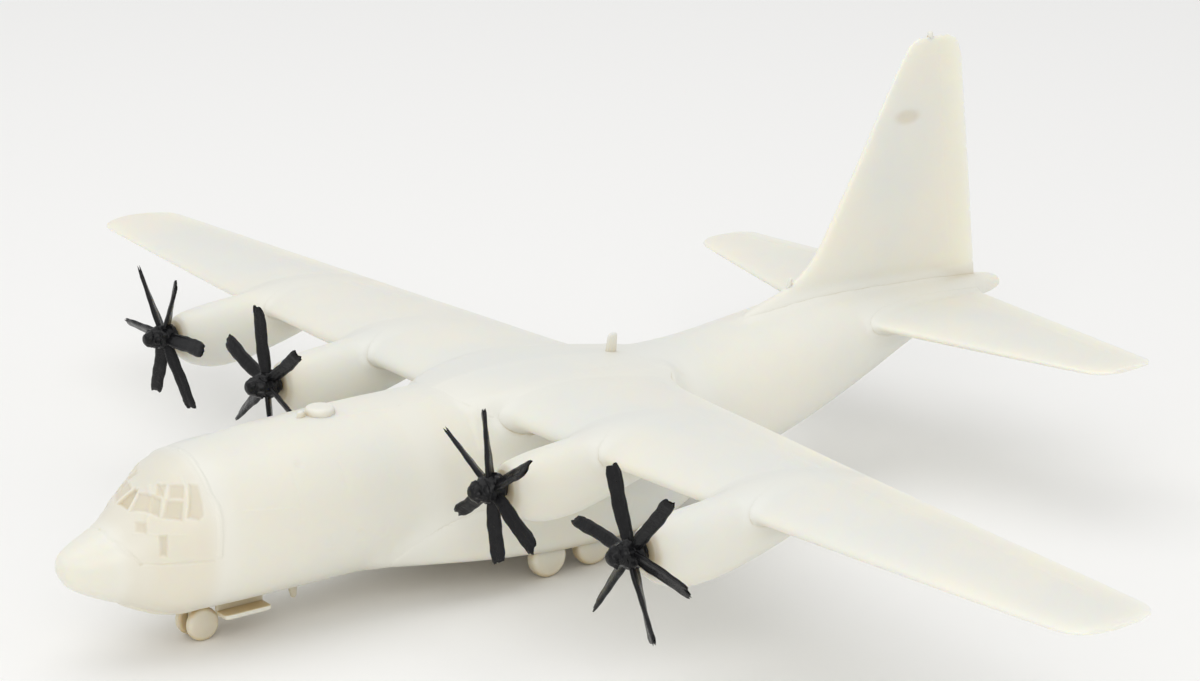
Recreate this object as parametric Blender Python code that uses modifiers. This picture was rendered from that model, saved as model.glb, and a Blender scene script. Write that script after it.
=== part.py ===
# Printed 1:144 display model of a high-wing transport plane with four turboprop engines.
# Metres, +Z up. The nose points to -Y and the port side to +X, and the wheels stand on Z = 0.
# A station is a distance aft of the type's own nose datum, ahead of this print's blunter nose.
# Outlines are given in millimetres, level as the fuselage is. The print stands a little nose up, so
# every piece hangs on one empty that pitches them all.

import math

import bmesh
import bpy
from mathutils import Matrix, Vector

MM = 0.001
PITCH = math.radians(1.0)  # nose up
LEVEL_STATION = 63.0  # where the outlines' zero height meets the floor
NOSE_STATION = 3.6
TAIL_STATION = 206.8
END_HEIGHT = 23.8  # mean height of the nose and tail tips, which the pitch carries aft
MIDDLE_STATION = (NOSE_STATION + TAIL_STATION) / 2 + END_HEIGHT * math.sin(PITCH)
GLUE_GAP = 0.08  # between pieces that are pressed or glued together
RUN_GAP = 0.35  # between a wheel and its well or leg
MERGE = 1e-6  # metres within which the points of a turned shape's poles become one
SHARP_ANGLE = 35

# fuselage
FUSELAGE_SIDES = 32
ROUNDNESS = 2.15  # exponent of the oval sections: 2 is an ellipse
FUSELAGE = (  # station, half_width, top, bottom
    (NOSE_STATION, 0.6, 17.4, 16.2),
    (4.1, 2.0, 18.5, 14.8),
    (5.2, 3.3, 19.4, 13.3),
    (7.5, 4.8, 20.5, 11.8),
    (11.0, 6.4, 21.9, 10.1),
    (13.5, 7.4, 23.3, 9.1),
    (16.5, 9.1, 26.0, 7.6),
    (19.5, 10.9, 28.4, 6.4),
    (23.0, 12.6, 31.0, 5.8),
    (28.0, 13.9, 32.4, 5.6),
    (36.0, 14.7, 32.8, 5.6),
    (48.0, 15.0, 33.4, 5.6),
    (66.0, 15.0, 33.7, 5.6),
    (100.0, 15.0, 33.2, 5.8),
    (114.0, 15.0, 32.7, 6.3),
    (124.0, 14.9, 32.3, 7.2),
    (134.0, 14.4, 32.6, 8.8),
    (146.0, 13.5, 34.0, 11.4),
    (157.0, 12.3, 35.3, 14.9),
    (168.0, 10.3, 35.3, 18.9),
    (180.0, 7.3, 34.6, 23.2),
    (192.0, 4.8, 33.5, 26.9),
    (200.0, 3.0, 32.5, 28.9),
    (204.5, 1.7, 32.0, 29.5),
    (TAIL_STATION, 0.7, 31.3, 29.9),
)
FUSELAGE_PIECES = (  # name, and the stations of its sections
    ("radome", (NOSE_STATION, 3.9, 4.6, 5.9, 8.0, 10.7, 13.5)),
    ("cockpit_section", (13.5, 16.0, 18.5, 21.0, 23.5, 26.5)),
    ("forward_fuselage", (26.5, 31.0, 37.0, 48.0, 66.0)),
    ("centre_fuselage", (66.0, 100.0, 114.0, 124.0)),
    ("rear_fuselage", (124.0, 134.0, 144.0, 153.0, 161.0, 168.0)),
    ("tail_section", (168.0, 176.0, 184.0, 192.0, 200.0)),
    ("tail_cone", (200.0, 203.0, 205.2, TAIL_STATION)),
)

# cockpit windows, as corners at (station, degrees round from the top centreline)
WINDOW_DEPTH = 0.35
CUTTER_REACH = 0.5  # how far a window's cutter stands out of the skin
CENTRE_PANE = ((18.2, -6.0), (18.2, 6.0), (15.6, 15.0), (15.6, -15.0))
SIDE_PANES = (
    ("windshield", (17.9, 11.0), (19.5, 30.0), (18.3, 44.0), (15.8, 27.0)),
    ("quarter_lower", (20.4, 37.0), (22.1, 44.0), (21.2, 59.0), (19.5, 51.0)),
    ("side", (23.4, 37.0), (25.2, 42.0), (23.8, 63.0), (21.9, 59.0)),
    ("eyebrow_front", (20.1, 17.0), (21.0, 24.0), (20.4, 31.0), (19.5, 24.0)),
    ("eyebrow_rear", (21.5, 27.0), (23.0, 34.0), (22.3, 41.0), (20.8, 34.0)),
    ("chin", (15.1, 34.0), (16.5, 41.0), (15.9, 54.0), (14.5, 48.0)),
    ("slot", (17.2, 61.0), (18.2, 63.0), (18.0, 82.0), (17.0, 81.0)),
)

# wing surfaces, as sections: out, leading, trailing, leading_height, trailing_height, thickness
WING_ROOT = (12.0, 81.6, 117.4, 30.2, 29.7, 6.0)
WING = (
    WING_ROOT,
    (45.0, 81.9, 113.1, 30.4, 30.3, 5.0),
    (78.0, 83.4, 109.4, 30.4, 30.8, 3.9),
    (137.0, 87.6, 104.8, 30.7, 30.9, 2.1),
    (140.4, 88.4, 104.2, 30.7, 30.9, 1.7),
    (142.5, 90.4, 102.4, 30.8, 30.9, 1.1),
    (143.4, 93.7, 99.6, 30.8, 30.9, 0.5),
)
FAIRING = (  # the hump over the fuselage, from the centreline to the wing
    (0.0, 74.0, 121.0, 32.6, 31.9, 4.2),
    (5.0, 75.2, 120.6, 31.9, 31.3, 4.6),
    (9.5, 78.6, 119.0, 30.9, 30.3, 5.5),
    WING_ROOT,
)
TAILPLANE = (
    (1.5, 163.9, 197.8, 30.8, 31.0, 3.9),
    (52.6, 176.9, 191.5, 30.8, 31.0, 1.7),
    (55.7, 178.3, 191.1, 30.8, 31.0, 1.3),
    (57.4, 180.4, 189.4, 30.9, 31.0, 0.7),
)
CAMBER = 0.18  # of the wing section, as a share of its thickness
TAIL_EDGE_HALF = 0.12  # half the thickness of a trailing edge

# engines
HUB_HEIGHT = 27.7
HUB_STATION = 63.5
INNER_ENGINE_OUT = 34.9
OUTER_ENGINE_OUT = 71.9
NACELLE_SIDES = 20
NACELLE = (  # station, half_width, top, bottom
    (66.0, 2.7, 30.2, 24.3),
    (66.8, 3.7, 31.0, 22.9),
    (69.0, 4.5, 31.6, 21.4),
    (73.0, 5.0, 32.2, 20.3),
    (79.0, 5.1, 32.7, 20.5),
    (85.0, 5.0, 33.2, 21.8),
    (91.0, 4.6, 33.3, 23.4),
    (97.0, 3.8, 32.8, 25.1),
    (103.0, 2.7, 31.6, 26.7),
    (108.0, 1.3, 30.2, 28.0),
)
PIN_RADIUS = 0.8
PIN_BORE_RADIUS = 0.88
PIN_LENGTH = 3.4

# propellers
PROP_RADIUS = 14.3
PROP_BLADES = 6
BLADE_CHORD = 3.1
BLADE_THICKNESS = 0.85
BLADE_ROOT = 1.6
BLADE_PITCH_ROOT = 42.0
BLADE_PITCH_TIP = 27.0
BLADE_STEPS = 3
BLADE_SECTION = ((-0.5, -0.55), (0, -1), (0.5, -0.55), (0.5, 0.55), (0, 1), (-0.5, 0.55))
ROOT_CHORD_SHARE = 0.72  # of the full chord, at the blade's root and at its cut tip
TIP_THINNING = 0.35
HUB_PROFILE = (  # along the shaft and radius, from the spinner's nose to the back
    (-3.6, 0.0),
    (-3.6, 0.5),
    (-3.2, 1.3),
    (-2.2, 2.0),
    (-1.0, 2.45),
    (1.1, 2.5),
    (2.1, 2.1),
    (2.1, 0.0),
)
HUB_SIDES = 12
BORE_START = -1.2  # along the shaft
BORE_END = 3.0
PROPS = (  # name, out, degrees of the first blade from the top towards port, hand of the blades
    ("port_outer", OUTER_ENGINE_OUT, -19.9, 1),
    ("port_inner", INNER_ENGINE_OUT, -4.5, -1),
    ("starboard_inner", -INNER_ENGINE_OUT, -6.6, 1),
    ("starboard_outer", -OUTER_ENGINE_OUT, -37.6, -1),
)

# fin, and the outline of the fillet before it as (station, height)
FIN = (  # height, leading, trailing, thickness
    (32.0, 154.7, 200.5, 4.6),
    (40.0, 159.3, 199.7, 4.1),
    (77.0, 180.5, 195.5, 1.7),
    (79.6, 182.0, 194.9, 1.4),
    (80.9, 183.8, 193.2, 0.8),
)
DORSAL_FIN = ((138.0, 34.5), (154.0, 37.2), (163.5, 45.2), (166.0, 30.0), (138.0, 30.0))
DORSAL_FIN_THICKNESS = 2.6
BEACON_STATION = 187.5
BEACON_RADIUS = 0.5
BEACON_HEIGHT = 1.0

# undercarriage
MAIN_WHEEL_RADIUS = 3.6
MAIN_WHEEL_WIDTH = 2.6
MAIN_WHEEL_OUT = 13.9
MAIN_WHEEL_STATIONS = (("front", 89.3), ("rear", 98.8))
NOSE_WHEEL_RADIUS = 2.9
NOSE_WHEEL_WIDTH = 1.6
NOSE_WHEEL_OUT = 1.8
NOSE_WHEEL_STATION = 28.3
NOSE_AXLE_RADIUS = 0.5
NOSE_BORE_RADIUS = 0.6
NOSE_LEG_HALF_DEPTH = 1.3
NOSE_SHOULDER = 0.3
NOSE_SIDE_DROP = 0.5
NOSE_TREAD_DROP = 0.08
AXLE_RADIUS = 0.6
AXLE_BORE_RADIUS = 0.68
AXLE_REACH = 0.6  # past the middle of a main wheel
AXLE_PLAY = 0.08  # between an axle's end and the bottom of its bore
LEG_THICKNESS = 1.2
LEG_HALF_DEPTH = 1.1
TREAD_DROP = 0.12  # of a main wheel's shoulders below its middle
SHOULDER = 0.4
SIDE_DROP = 0.7
SPONSON_SIDES = 20
BELLY_PIECES = ("forward_fuselage", "centre_fuselage", "rear_fuselage")
SPONSON_ROUNDNESS = 2.6
SPONSON = (  # station, out, half_width, top, bottom
    (58.0, 9.8, 0.8, 11.4, 9.6),
    (63.0, 10.8, 3.0, 13.6, 8.2),
    (69.0, 11.6, 4.6, 15.0, 7.2),
    (76.0, 12.1, 5.4, 15.6, 6.3),
    (84.0, 12.2, 5.5, 15.4, 5.4),
    (92.0, 12.2, 5.5, 15.4, 4.6),
    (104.0, 12.2, 5.5, 15.4, 4.5),
    (113.0, 12.0, 4.9, 14.8, 5.4),
    (120.0, 11.4, 3.6, 13.6, 7.4),
    (125.0, 10.6, 1.4, 12.2, 9.6),
)
NOSE_DOOR = ((2.6, 6.0), (3.3, 6.0), (3.3, 4.6), (6.3, 4.4), (6.3, 3.6), (2.6, 3.8))  # out, height
NOSE_DOOR_LENGTH = 8.8
NOSE_DOOR_STATION = 34.7

# small pieces on the skin
DOME_STATION = 53.0
DOME_PROFILE = ((0.0, 0.0), (0.0, 2.5), (0.5, 2.4), (0.8, 1.7), (0.9, 0.7), (0.9, 0.0))  # up, radius
ANTENNAS = (  # name, the skin it stands on, station, foot_chord, tip_chord, height, thickness
    ("roof_stub", "roof", 49.3, 1.6, 0.8, 0.9, 0.8),
    ("dorsal_antenna", "hump", 113.5, 2.4, 2.0, 1.9, 0.9),
    ("belly_antenna", "belly", 46.5, 2.6, 1.1, -3.6, 0.9),
)

WHITE = (0.80, 0.79, 0.72, 1.0)
BLACK = (0.012, 0.012, 0.013, 1.0)


def at(out, station, height):
    """A point of the level model in metres, from millimetres out to port, aft of the nose and up."""
    return Vector((out * MM, (station - MIDDLE_STATION) * MM, height * MM))


def ground(station):
    """Height of the floor in the level model's outlines."""
    return (station - LEVEL_STATION) * math.tan(PITCH)


def clear_scene():
    for obj in list(bpy.data.objects):
        bpy.data.objects.remove(obj, do_unlink=True)


def material(name, color, roughness):
    made = bpy.data.materials.new(name)
    made.use_nodes = True
    shader = made.node_tree.nodes["Principled BSDF"]
    shader.inputs["Base Color"].default_value = color
    shader.inputs["Roughness"].default_value = roughness
    made.diffuse_color = color
    return made


def collection(name):
    made = bpy.data.collections.new(name)
    bpy.context.scene.collection.children.link(made)
    return made


clear_scene()
MODEL = collection("transport_plane_model")
CUTTERS = collection("cutters")
WHITE_PRINT = material("white_print", WHITE, 0.4)
BLACK_PRINT = material("black_print", BLACK, 0.35)
AIRFRAME = bpy.data.objects.new("airframe", None)
AIRFRAME.rotation_euler = (-PITCH, 0, 0)
AIRFRAME.location = at(0, LEVEL_STATION, 0) - AIRFRAME.rotation_euler.to_matrix() @ at(0, LEVEL_STATION, 0)
MODEL.objects.link(AIRFRAME)


def piece(name, mesh, finish=WHITE_PRINT):
    obj = bpy.data.objects.new(name, mesh)
    obj.parent = AIRFRAME
    MODEL.objects.link(obj)
    obj.data.materials.clear()
    obj.data.materials.append(finish)
    mesh.shade_smooth()
    mesh.set_sharp_from_angle(angle=math.radians(SHARP_ANGLE))
    return obj


def cutter(name, mesh):
    obj = bpy.data.objects.new(name, mesh)
    obj.parent = AIRFRAME
    CUTTERS.objects.link(obj)
    obj.hide_render = True
    obj.display_type = "WIRE"
    return obj


def boolean(obj, other, operation="DIFFERENCE"):
    modifier = obj.modifiers.new(operation.lower() + "_" + other.name, "BOOLEAN")
    modifier.operation = operation
    modifier.object = other
    return modifier


def applied(obj):
    """The object's mesh with its modifiers applied."""
    bpy.context.view_layer.update()
    graph = bpy.context.evaluated_depsgraph_get()
    return bpy.data.meshes.new_from_object(obj.evaluated_get(graph), depsgraph=graph)


def finished(name, bm):
    """The bmesh as a mesh, with its faces turned outwards."""
    bmesh.ops.recalc_face_normals(bm, faces=bm.faces)
    mesh = bpy.data.meshes.new(name)
    bm.to_mesh(mesh)
    bm.free()
    return mesh


def loft(name, rings):
    """A closed skin over rings with equal numbers of points, capped flat at both ends."""
    bm = bmesh.new()
    rows = [[bm.verts.new(point) for point in ring] for ring in rings]
    count = len(rows[0])
    for row, following in zip(rows, rows[1:]):
        for i in range(count):
            j = (i + 1) % count
            bm.faces.new((row[i], row[j], following[j]))
            bm.faces.new((row[i], following[j], following[i]))
    bm.faces.new(rows[0])
    bm.faces.new(rows[-1])
    return finished(name, bm)


def smooth_row(table, place):
    """The table's row at a place in its first column, on a smooth curve through the rows."""
    last = len(table) - 2
    i = min(last, max(k for k in range(len(table) - 1) if table[k][0] <= place or k == 0))
    low, high = table[i], table[i + 1]
    span = high[0] - low[0]
    t = (place - low[0]) / span
    before = table[i - 1] if i else low
    after = table[i + 2] if i < last else high
    row = [place]
    for column in range(1, len(low)):
        rise = high[column] - low[column]
        start = (high[column] - before[column]) / (high[0] - before[0]) * span
        end = (after[column] - low[column]) / (after[0] - low[0]) * span
        value = (
            low[column]
            + start * t
            + (3 * rise - 2 * start - end) * t**2
            + (start + end - 2 * rise) * t**3
        )
        row.append(value)
    return row


def oval(half_width, top, bottom, degrees, grow=0.0, roundness=ROUNDNESS):
    """A point of an oval section, at an angle round from its top towards port."""
    angle = math.radians(degrees)
    across, up = math.sin(angle), math.cos(angle)
    power = 2 / roundness
    out = math.copysign(abs(across) ** power, across) * (half_width + grow)
    height = (top + bottom) / 2 + math.copysign(abs(up) ** power, up) * ((top - bottom) / 2 + grow)
    return out, height


def oval_ring(row, sides, centre_out=0.0, grow=0.0, roundness=ROUNDNESS):
    station, half_width, top, bottom = row
    ring = []
    for i in range(sides):
        out, height = oval(half_width, top, bottom, 360 * (i + 0.5) / sides, grow, roundness)
        ring.append(at(centre_out + out, station, height))
    return ring


def fuselage_mesh(name, pieces, grow=0.0):
    """The skin over one piece, or over a run of neighbouring pieces."""
    stations = sorted({s for piece_name, places in FUSELAGE_PIECES if piece_name in pieces for s in places})
    rows = [smooth_row(FUSELAGE, station) for station in stations]
    return loft(name, [oval_ring(row, FUSELAGE_SIDES, grow=grow) for row in rows])


def patch(name, corners, out, deep):
    """A block over four corners of the fuselage's skin, from above the skin to below it."""
    bm = bmesh.new()
    bmesh.ops.create_grid(bm, x_segments=2, y_segments=2, size=0.5)
    extruded = bmesh.ops.extrude_face_region(bm, geom=list(bm.faces))
    inner = [part for part in extruded["geom"] if isinstance(part, bmesh.types.BMVert)]
    for vert in bm.verts:
        u, v = vert.co.x + 0.5, vert.co.y + 0.5
        upper = [a + (b - a) * u for a, b in zip(corners[0], corners[1])]
        lower = [a + (b - a) * u for a, b in zip(corners[3], corners[2])]
        station, degrees = [a + (b - a) * v for a, b in zip(upper, lower)]
        row = smooth_row(FUSELAGE, station)
        x, z = oval(row[1], row[2], row[3], degrees, -deep if vert in inner else out)
        vert.co = at(x, station, z)
    return finished(name, bm)


def airfoil(chord_share, thickness):
    """Half thickness of a round-nosed wing section at a share of its chord, 0 to 1."""
    x = chord_share
    shape = 2.969 * x**0.5 - 1.26 * x - 3.516 * x**2 + 2.843 * x**3 - 1.036 * x**4
    return shape * thickness / 2


def airfoil_outline(leading, trailing, heights, thickness, camber=CAMBER, grow=0.0):
    """Points (station, height) round a wing section: over the top to the tail, and back below."""
    steps = 7
    leading, trailing = leading - grow, trailing + grow
    chord = trailing - leading
    top, low = [], []
    for i in range(steps + 1):
        share = (1 - math.cos(math.pi * i / steps)) / 2
        half = airfoil(share, thickness) + (grow if i else 0)
        lift = camber * thickness * 4 * share * (1 - share)
        centre = heights[0] + (heights[1] - heights[0]) * share
        station = leading + chord * share
        top.append((station, centre + lift + half))
        low.append((station, centre + lift - half))
    tail = TAIL_EDGE_HALF + grow
    top[-1] = (trailing, heights[1] + tail)
    low[-1] = (trailing, heights[1] - tail)
    return top + low[:0:-1]


def wing_mesh(name, table, side, grow=0.0, camber=CAMBER):
    rings = []
    for out, leading, trailing, *heights, thickness in table:
        outline = airfoil_outline(leading, trailing, heights, thickness, camber, grow)
        rings.append([at(side * out, station, height) for station, height in outline])
    return loft(name, rings)


def box_mesh(name, low, high):
    bm = bmesh.new()
    bmesh.ops.create_cube(bm, size=1.0)
    size, middle = high - low, (high + low) / 2
    bmesh.ops.scale(bm, verts=bm.verts, vec=size)
    bmesh.ops.translate(bm, verts=bm.verts, vec=middle)
    return finished(name, bm)


def cylinder_mesh(name, radius, start, end, sides=16):
    bm = bmesh.new()
    along = end - start
    radius *= MM
    bmesh.ops.create_cone(
        bm, cap_ends=True, segments=sides, radius1=radius, radius2=radius, depth=along.length
    )
    turn = along.to_track_quat("Z", "Y").to_matrix()
    bmesh.ops.rotate(bm, verts=bm.verts, matrix=turn)
    bmesh.ops.translate(bm, verts=bm.verts, vec=(start + end) / 2)
    return finished(name, bm)


def plate_mesh(name, outline, thickness, to_point):
    """A flat plate with this outline, its thickness shared between both sides."""
    bm = bmesh.new()
    face = bm.faces.new([bm.verts.new(to_point(a, b, -thickness / 2)) for a, b in outline])
    extruded = bmesh.ops.extrude_face_region(bm, geom=[face])
    far = [part for part in extruded["geom"] if isinstance(part, bmesh.types.BMVert)]
    bmesh.ops.translate(bm, verts=far, vec=to_point(0, 0, thickness) - to_point(0, 0, 0))
    return finished(name, bm)


def turned(name, profile, sides=24):
    """The mesh of a profile of (along, radius) points, turned about the X axis."""
    line = bpy.data.meshes.new(name)
    points = [(along * MM, 0, radius * MM) for along, radius in profile]
    line.from_pydata(points, [(i, i + 1) for i in range(len(points) - 1)], [])
    spun = cutter(name + "_profile", line)
    screw = spun.modifiers.new("turn", "SCREW")
    screw.axis = "X"
    screw.steps = screw.render_steps = sides
    screw.use_merge_vertices = True
    screw.merge_threshold = MERGE
    bm = bmesh.new()
    bm.from_mesh(applied(spun))
    return finished(name, bm)


def make_fuselage():
    return {name: piece(name, fuselage_mesh(name, (name,))) for name, _ in FUSELAGE_PIECES}


def cut_windows(cockpit):
    panes = [("centre", CENTRE_PANE, 1)]
    for name, *corners in SIDE_PANES:
        panes += [(name + "_port", corners, 1), (name + "_starboard", corners, -1)]
    for name, corners, side in panes:
        flipped = [(station, side * degrees) for station, degrees in corners]
        block = patch(name, flipped, CUTTER_REACH, WINDOW_DEPTH)
        boolean(cockpit, cutter("pane_" + name, block))


def widened(rows):
    """The same sections, with both end sections repeated a glue gap further out."""
    first, last = rows[0], rows[-1]
    return [(first[0] - GLUE_GAP, *first[1:]), *rows, (last[0] + GLUE_GAP, *last[1:])]


def make_wings(centre_fuselage):
    fairing_rows = [(-row[0], *row[1:]) for row in FAIRING[:0:-1]] + list(FAIRING)
    piece("wing_fairing", wing_mesh("wing_fairing", fairing_rows, 1))
    room = wing_mesh("fairing_room", widened(fairing_rows), 1, GLUE_GAP)
    boolean(centre_fuselage, cutter("fairing_room", room))
    for word, side in (("port", 1), ("starboard", -1)):
        wing = piece("wing_" + word, wing_mesh("wing", WING, side))
        room = fuselage_mesh("body_room", ("centre_fuselage",), GLUE_GAP)
        boolean(wing, cutter("body_room_" + word, room))


def make_engines():
    face = NACELLE[0][0]
    for name, out, phase, hand in PROPS:
        rows = [oval_ring(row, NACELLE_SIDES, out) for row in NACELLE]
        nacelle = piece("nacelle_" + name, loft("nacelle", rows))
        room = wing_mesh("wing_room", WING, math.copysign(1, out), GLUE_GAP)
        boolean(nacelle, cutter("wing_room_" + name, room))
        start, end = at(out, face, HUB_HEIGHT), at(out, face - PIN_LENGTH, HUB_HEIGHT)
        piece("prop_pin_" + name, cylinder_mesh("prop_pin", PIN_RADIUS, start, end), BLACK_PRINT)


def blade_mesh(index, hand):
    """One twisted blade, from inside the hub to its tip, about a hub at the origin facing -Y."""
    rings = []
    for i in range(BLADE_STEPS + 1):
        share = i / BLADE_STEPS
        radius = BLADE_ROOT + (PROP_RADIUS - BLADE_ROOT) * share
        chord = BLADE_CHORD * (ROOT_CHORD_SHARE if i in (0, BLADE_STEPS) else 1)
        half = BLADE_THICKNESS / 2 * (1 - TIP_THINNING * share)
        pitch = math.radians(BLADE_PITCH_ROOT + (BLADE_PITCH_TIP - BLADE_PITCH_ROOT) * share) * hand
        across = Vector((math.cos(pitch), math.sin(pitch), 0)) * chord
        through = Vector((-math.sin(pitch), math.cos(pitch), 0)) * half
        middle = Vector((0, 0, radius))
        rings.append([(across * u + through * v + middle) * MM for u, v in BLADE_SECTION])
    mesh = loft("blade", rings)
    mesh.transform(Matrix.Rotation(2 * math.pi / PROP_BLADES * index, 4, "Y"))
    return mesh


def make_propeller(hand):
    """The hub, its spinner and its blades as one print, about an origin on the shaft."""
    mesh = turned("hub", HUB_PROFILE, HUB_SIDES)
    mesh.transform(Matrix.Rotation(math.pi / 2, 4, "Z"))
    hub = cutter("hub", mesh)
    for index in range(PROP_BLADES):
        boolean(hub, cutter(f"blade_{index}", blade_mesh(index, hand)), "UNION")
    start, end = Vector((0, BORE_START * MM, 0)), Vector((0, BORE_END * MM, 0))
    boolean(hub, cutter("bore", cylinder_mesh("bore", PIN_BORE_RADIUS, start, end)))
    return applied(hub)


def make_propellers():
    meshes = {hand: make_propeller(hand) for hand in (1, -1)}
    for name, out, phase, hand in PROPS:
        propeller = piece("propeller_" + name, meshes[hand], BLACK_PRINT)
        propeller.location = at(out, HUB_STATION, HUB_HEIGHT)
        propeller.rotation_euler = (0, math.radians(phase), 0)


def tail_room(name):
    """A cutter that makes room for the tail end of the fuselage."""
    mesh = fuselage_mesh(name, ("rear_fuselage", "tail_section", "tail_cone"), GLUE_GAP)
    return cutter("tail_room_" + name, mesh)


def make_tail():
    for word, side in (("port", 1), ("starboard", -1)):
        surface = piece("tailplane_" + word, wing_mesh("tailplane", TAILPLANE, side, camber=0.0))
        boolean(surface, tail_room(word))
    rings = []
    for height, leading, trailing, thickness in FIN:
        outline = airfoil_outline(leading, trailing, (0.0, 0.0), thickness, camber=0.0)
        rings.append([at(out, station, height) for station, out in outline])
    fin = piece("fin", loft("fin", rings))
    dorsal = plate_mesh("dorsal_fin", DORSAL_FIN, DORSAL_FIN_THICKNESS, in_centre_plane)
    boolean(fin, cutter("dorsal_fin", dorsal), "UNION")
    boolean(fin, tail_room("fin"))
    foot = FIN[-1][0] + GLUE_GAP
    start, end = at(0, BEACON_STATION, foot), at(0, BEACON_STATION, foot + BEACON_HEIGHT)
    piece("fin_beacon", cylinder_mesh("fin_beacon", BEACON_RADIUS, start, end, 12))


def in_centre_plane(station, height, out):
    return at(out, station, height)


def make_sponsons():
    inner = MAIN_WHEEL_OUT - MAIN_WHEEL_WIDTH / 2 - RUN_GAP - LEG_THICKNESS - GLUE_GAP
    outer = MAIN_WHEEL_OUT + MAIN_WHEEL_WIDTH / 2 + RUN_GAP
    for word, side in (("port", 1), ("starboard", -1)):
        rings = []
        for station, out, *shape in SPONSON:
            row = (station, *shape)
            rings.append(oval_ring(row, SPONSON_SIDES, side * out, roundness=SPONSON_ROUNDNESS))
        sponson = piece("sponson_" + word, loft("sponson", rings))
        room = fuselage_mesh("belly_room", BELLY_PIECES, GLUE_GAP)
        boolean(sponson, cutter("belly_room_" + word, room))
        for place, station in MAIN_WHEEL_STATIONS:
            height = ground(station) + MAIN_WHEEL_RADIUS
            start, end = at(side * inner, station, height), at(side * outer, station, height)
            well = cylinder_mesh("well", MAIN_WHEEL_RADIUS + RUN_GAP, start, end, 32)
            boolean(sponson, cutter(f"well_{place}_{word}", well))
            make_main_leg(f"{place}_{word}", side, station, inner + GLUE_GAP)
            make_main_wheel(f"{place}_{word}", side, station)


def make_main_leg(name, side, station, inner):
    """A flat leg with a stub axle, inside the well."""
    edges = sorted((side * inner, side * (inner + LEG_THICKNESS)))
    height = ground(station) + MAIN_WHEEL_RADIUS
    low = at(edges[0], station - LEG_HALF_DEPTH, height - LEG_HALF_DEPTH)
    high = at(edges[1], station + LEG_HALF_DEPTH, height + MAIN_WHEEL_RADIUS)
    leg = piece("main_leg_" + name, box_mesh("main_leg", low, high))
    start = at(side * (inner + LEG_THICKNESS / 2), station, height)
    end = at(side * (MAIN_WHEEL_OUT + AXLE_REACH), station, height)
    boolean(leg, cutter("stub_" + name, cylinder_mesh("stub", AXLE_RADIUS, start, end)), "UNION")


def make_main_wheel(name, side, station):
    """A wheel about its own origin, with a blind bore from its inner face."""
    r, half = MAIN_WHEEL_RADIUS, MAIN_WHEEL_WIDTH / 2
    profile = (
        (-half, 0),
        (-half, r - SIDE_DROP),
        (-half + SHOULDER, r - TREAD_DROP),
        (0, r),
        (half - SHOULDER, r - TREAD_DROP),
        (half, r - SIDE_DROP),
        (half, 0),
    )
    mesh = turned("main_wheel", profile)
    wheel = piece("main_wheel_" + name, mesh)
    height = ground(station) + r
    wheel.location = at(side * MAIN_WHEEL_OUT, station, height)
    start = at(side * (MAIN_WHEEL_OUT - MAIN_WHEEL_WIDTH), station, height)
    end = at(side * (MAIN_WHEEL_OUT + AXLE_REACH + AXLE_PLAY), station, height)
    bore = cylinder_mesh("wheel_bore", AXLE_BORE_RADIUS, start, end)
    boolean(wheel, cutter("wheel_bore_" + name, bore))


def make_nose_gear():
    make_nose_wheels()
    station = NOSE_WHEEL_STATION
    height = ground(station) + NOSE_WHEEL_RADIUS
    belly = smooth_row(FUSELAGE, station)[3]
    low = at(-LEG_THICKNESS / 2, station - NOSE_LEG_HALF_DEPTH, height - LEG_HALF_DEPTH)
    high = at(LEG_THICKNESS / 2, station + NOSE_LEG_HALF_DEPTH, belly - GLUE_GAP)
    leg = piece("nose_leg", box_mesh("nose_leg", low, high))
    start, end = at(-LEG_THICKNESS, station, height), at(LEG_THICKNESS, station, height)
    hole = cylinder_mesh("nose_axle_hole", NOSE_BORE_RADIUS, start, end)
    boolean(leg, cutter("nose_axle_hole", hole))
    for word, side in (("port", 1), ("starboard", -1)):
        outline = [(side * out, height) for out, height in NOSE_DOOR]
        door = plate_mesh("nose_gear_door", outline, NOSE_DOOR_LENGTH, across_door)
        door = piece("nose_gear_door_" + word, door)
        room = fuselage_mesh("door_room", ("forward_fuselage",), GLUE_GAP)
        boolean(door, cutter("door_room_" + word, room))


def across_door(out, height, along):
    return at(out, NOSE_DOOR_STATION + along, height)


def make_nose_wheels():
    """Both wheels and the axle between them as one turned piece."""
    r, half = NOSE_WHEEL_RADIUS, NOSE_WHEEL_WIDTH / 2
    middle, inner, outer = NOSE_WHEEL_OUT, NOSE_WHEEL_OUT - half, NOSE_WHEEL_OUT + half
    side = [
        (inner, NOSE_AXLE_RADIUS),
        (inner, r - NOSE_SIDE_DROP),
        (inner + NOSE_SHOULDER, r - NOSE_TREAD_DROP),
        (middle, r),
        (outer - NOSE_SHOULDER, r - NOSE_TREAD_DROP),
        (outer, r - NOSE_SIDE_DROP),
        (outer, 0),
    ]
    profile = [(-along, radius) for along, radius in side[::-1]] + side
    wheels = piece("nose_wheels", turned("nose_wheels", profile))
    wheels.location = at(0, NOSE_WHEEL_STATION, ground(NOSE_WHEEL_STATION) + r)


def hump_top(station):
    """Height of the fairing's top on the centreline."""
    _, leading, trailing, front, back, thickness = FAIRING[0]
    share = (station - leading) / (trailing - leading)
    lift = CAMBER * thickness * 4 * share * (1 - share)
    return front + (back - front) * share + lift + airfoil(share, thickness)


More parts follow.
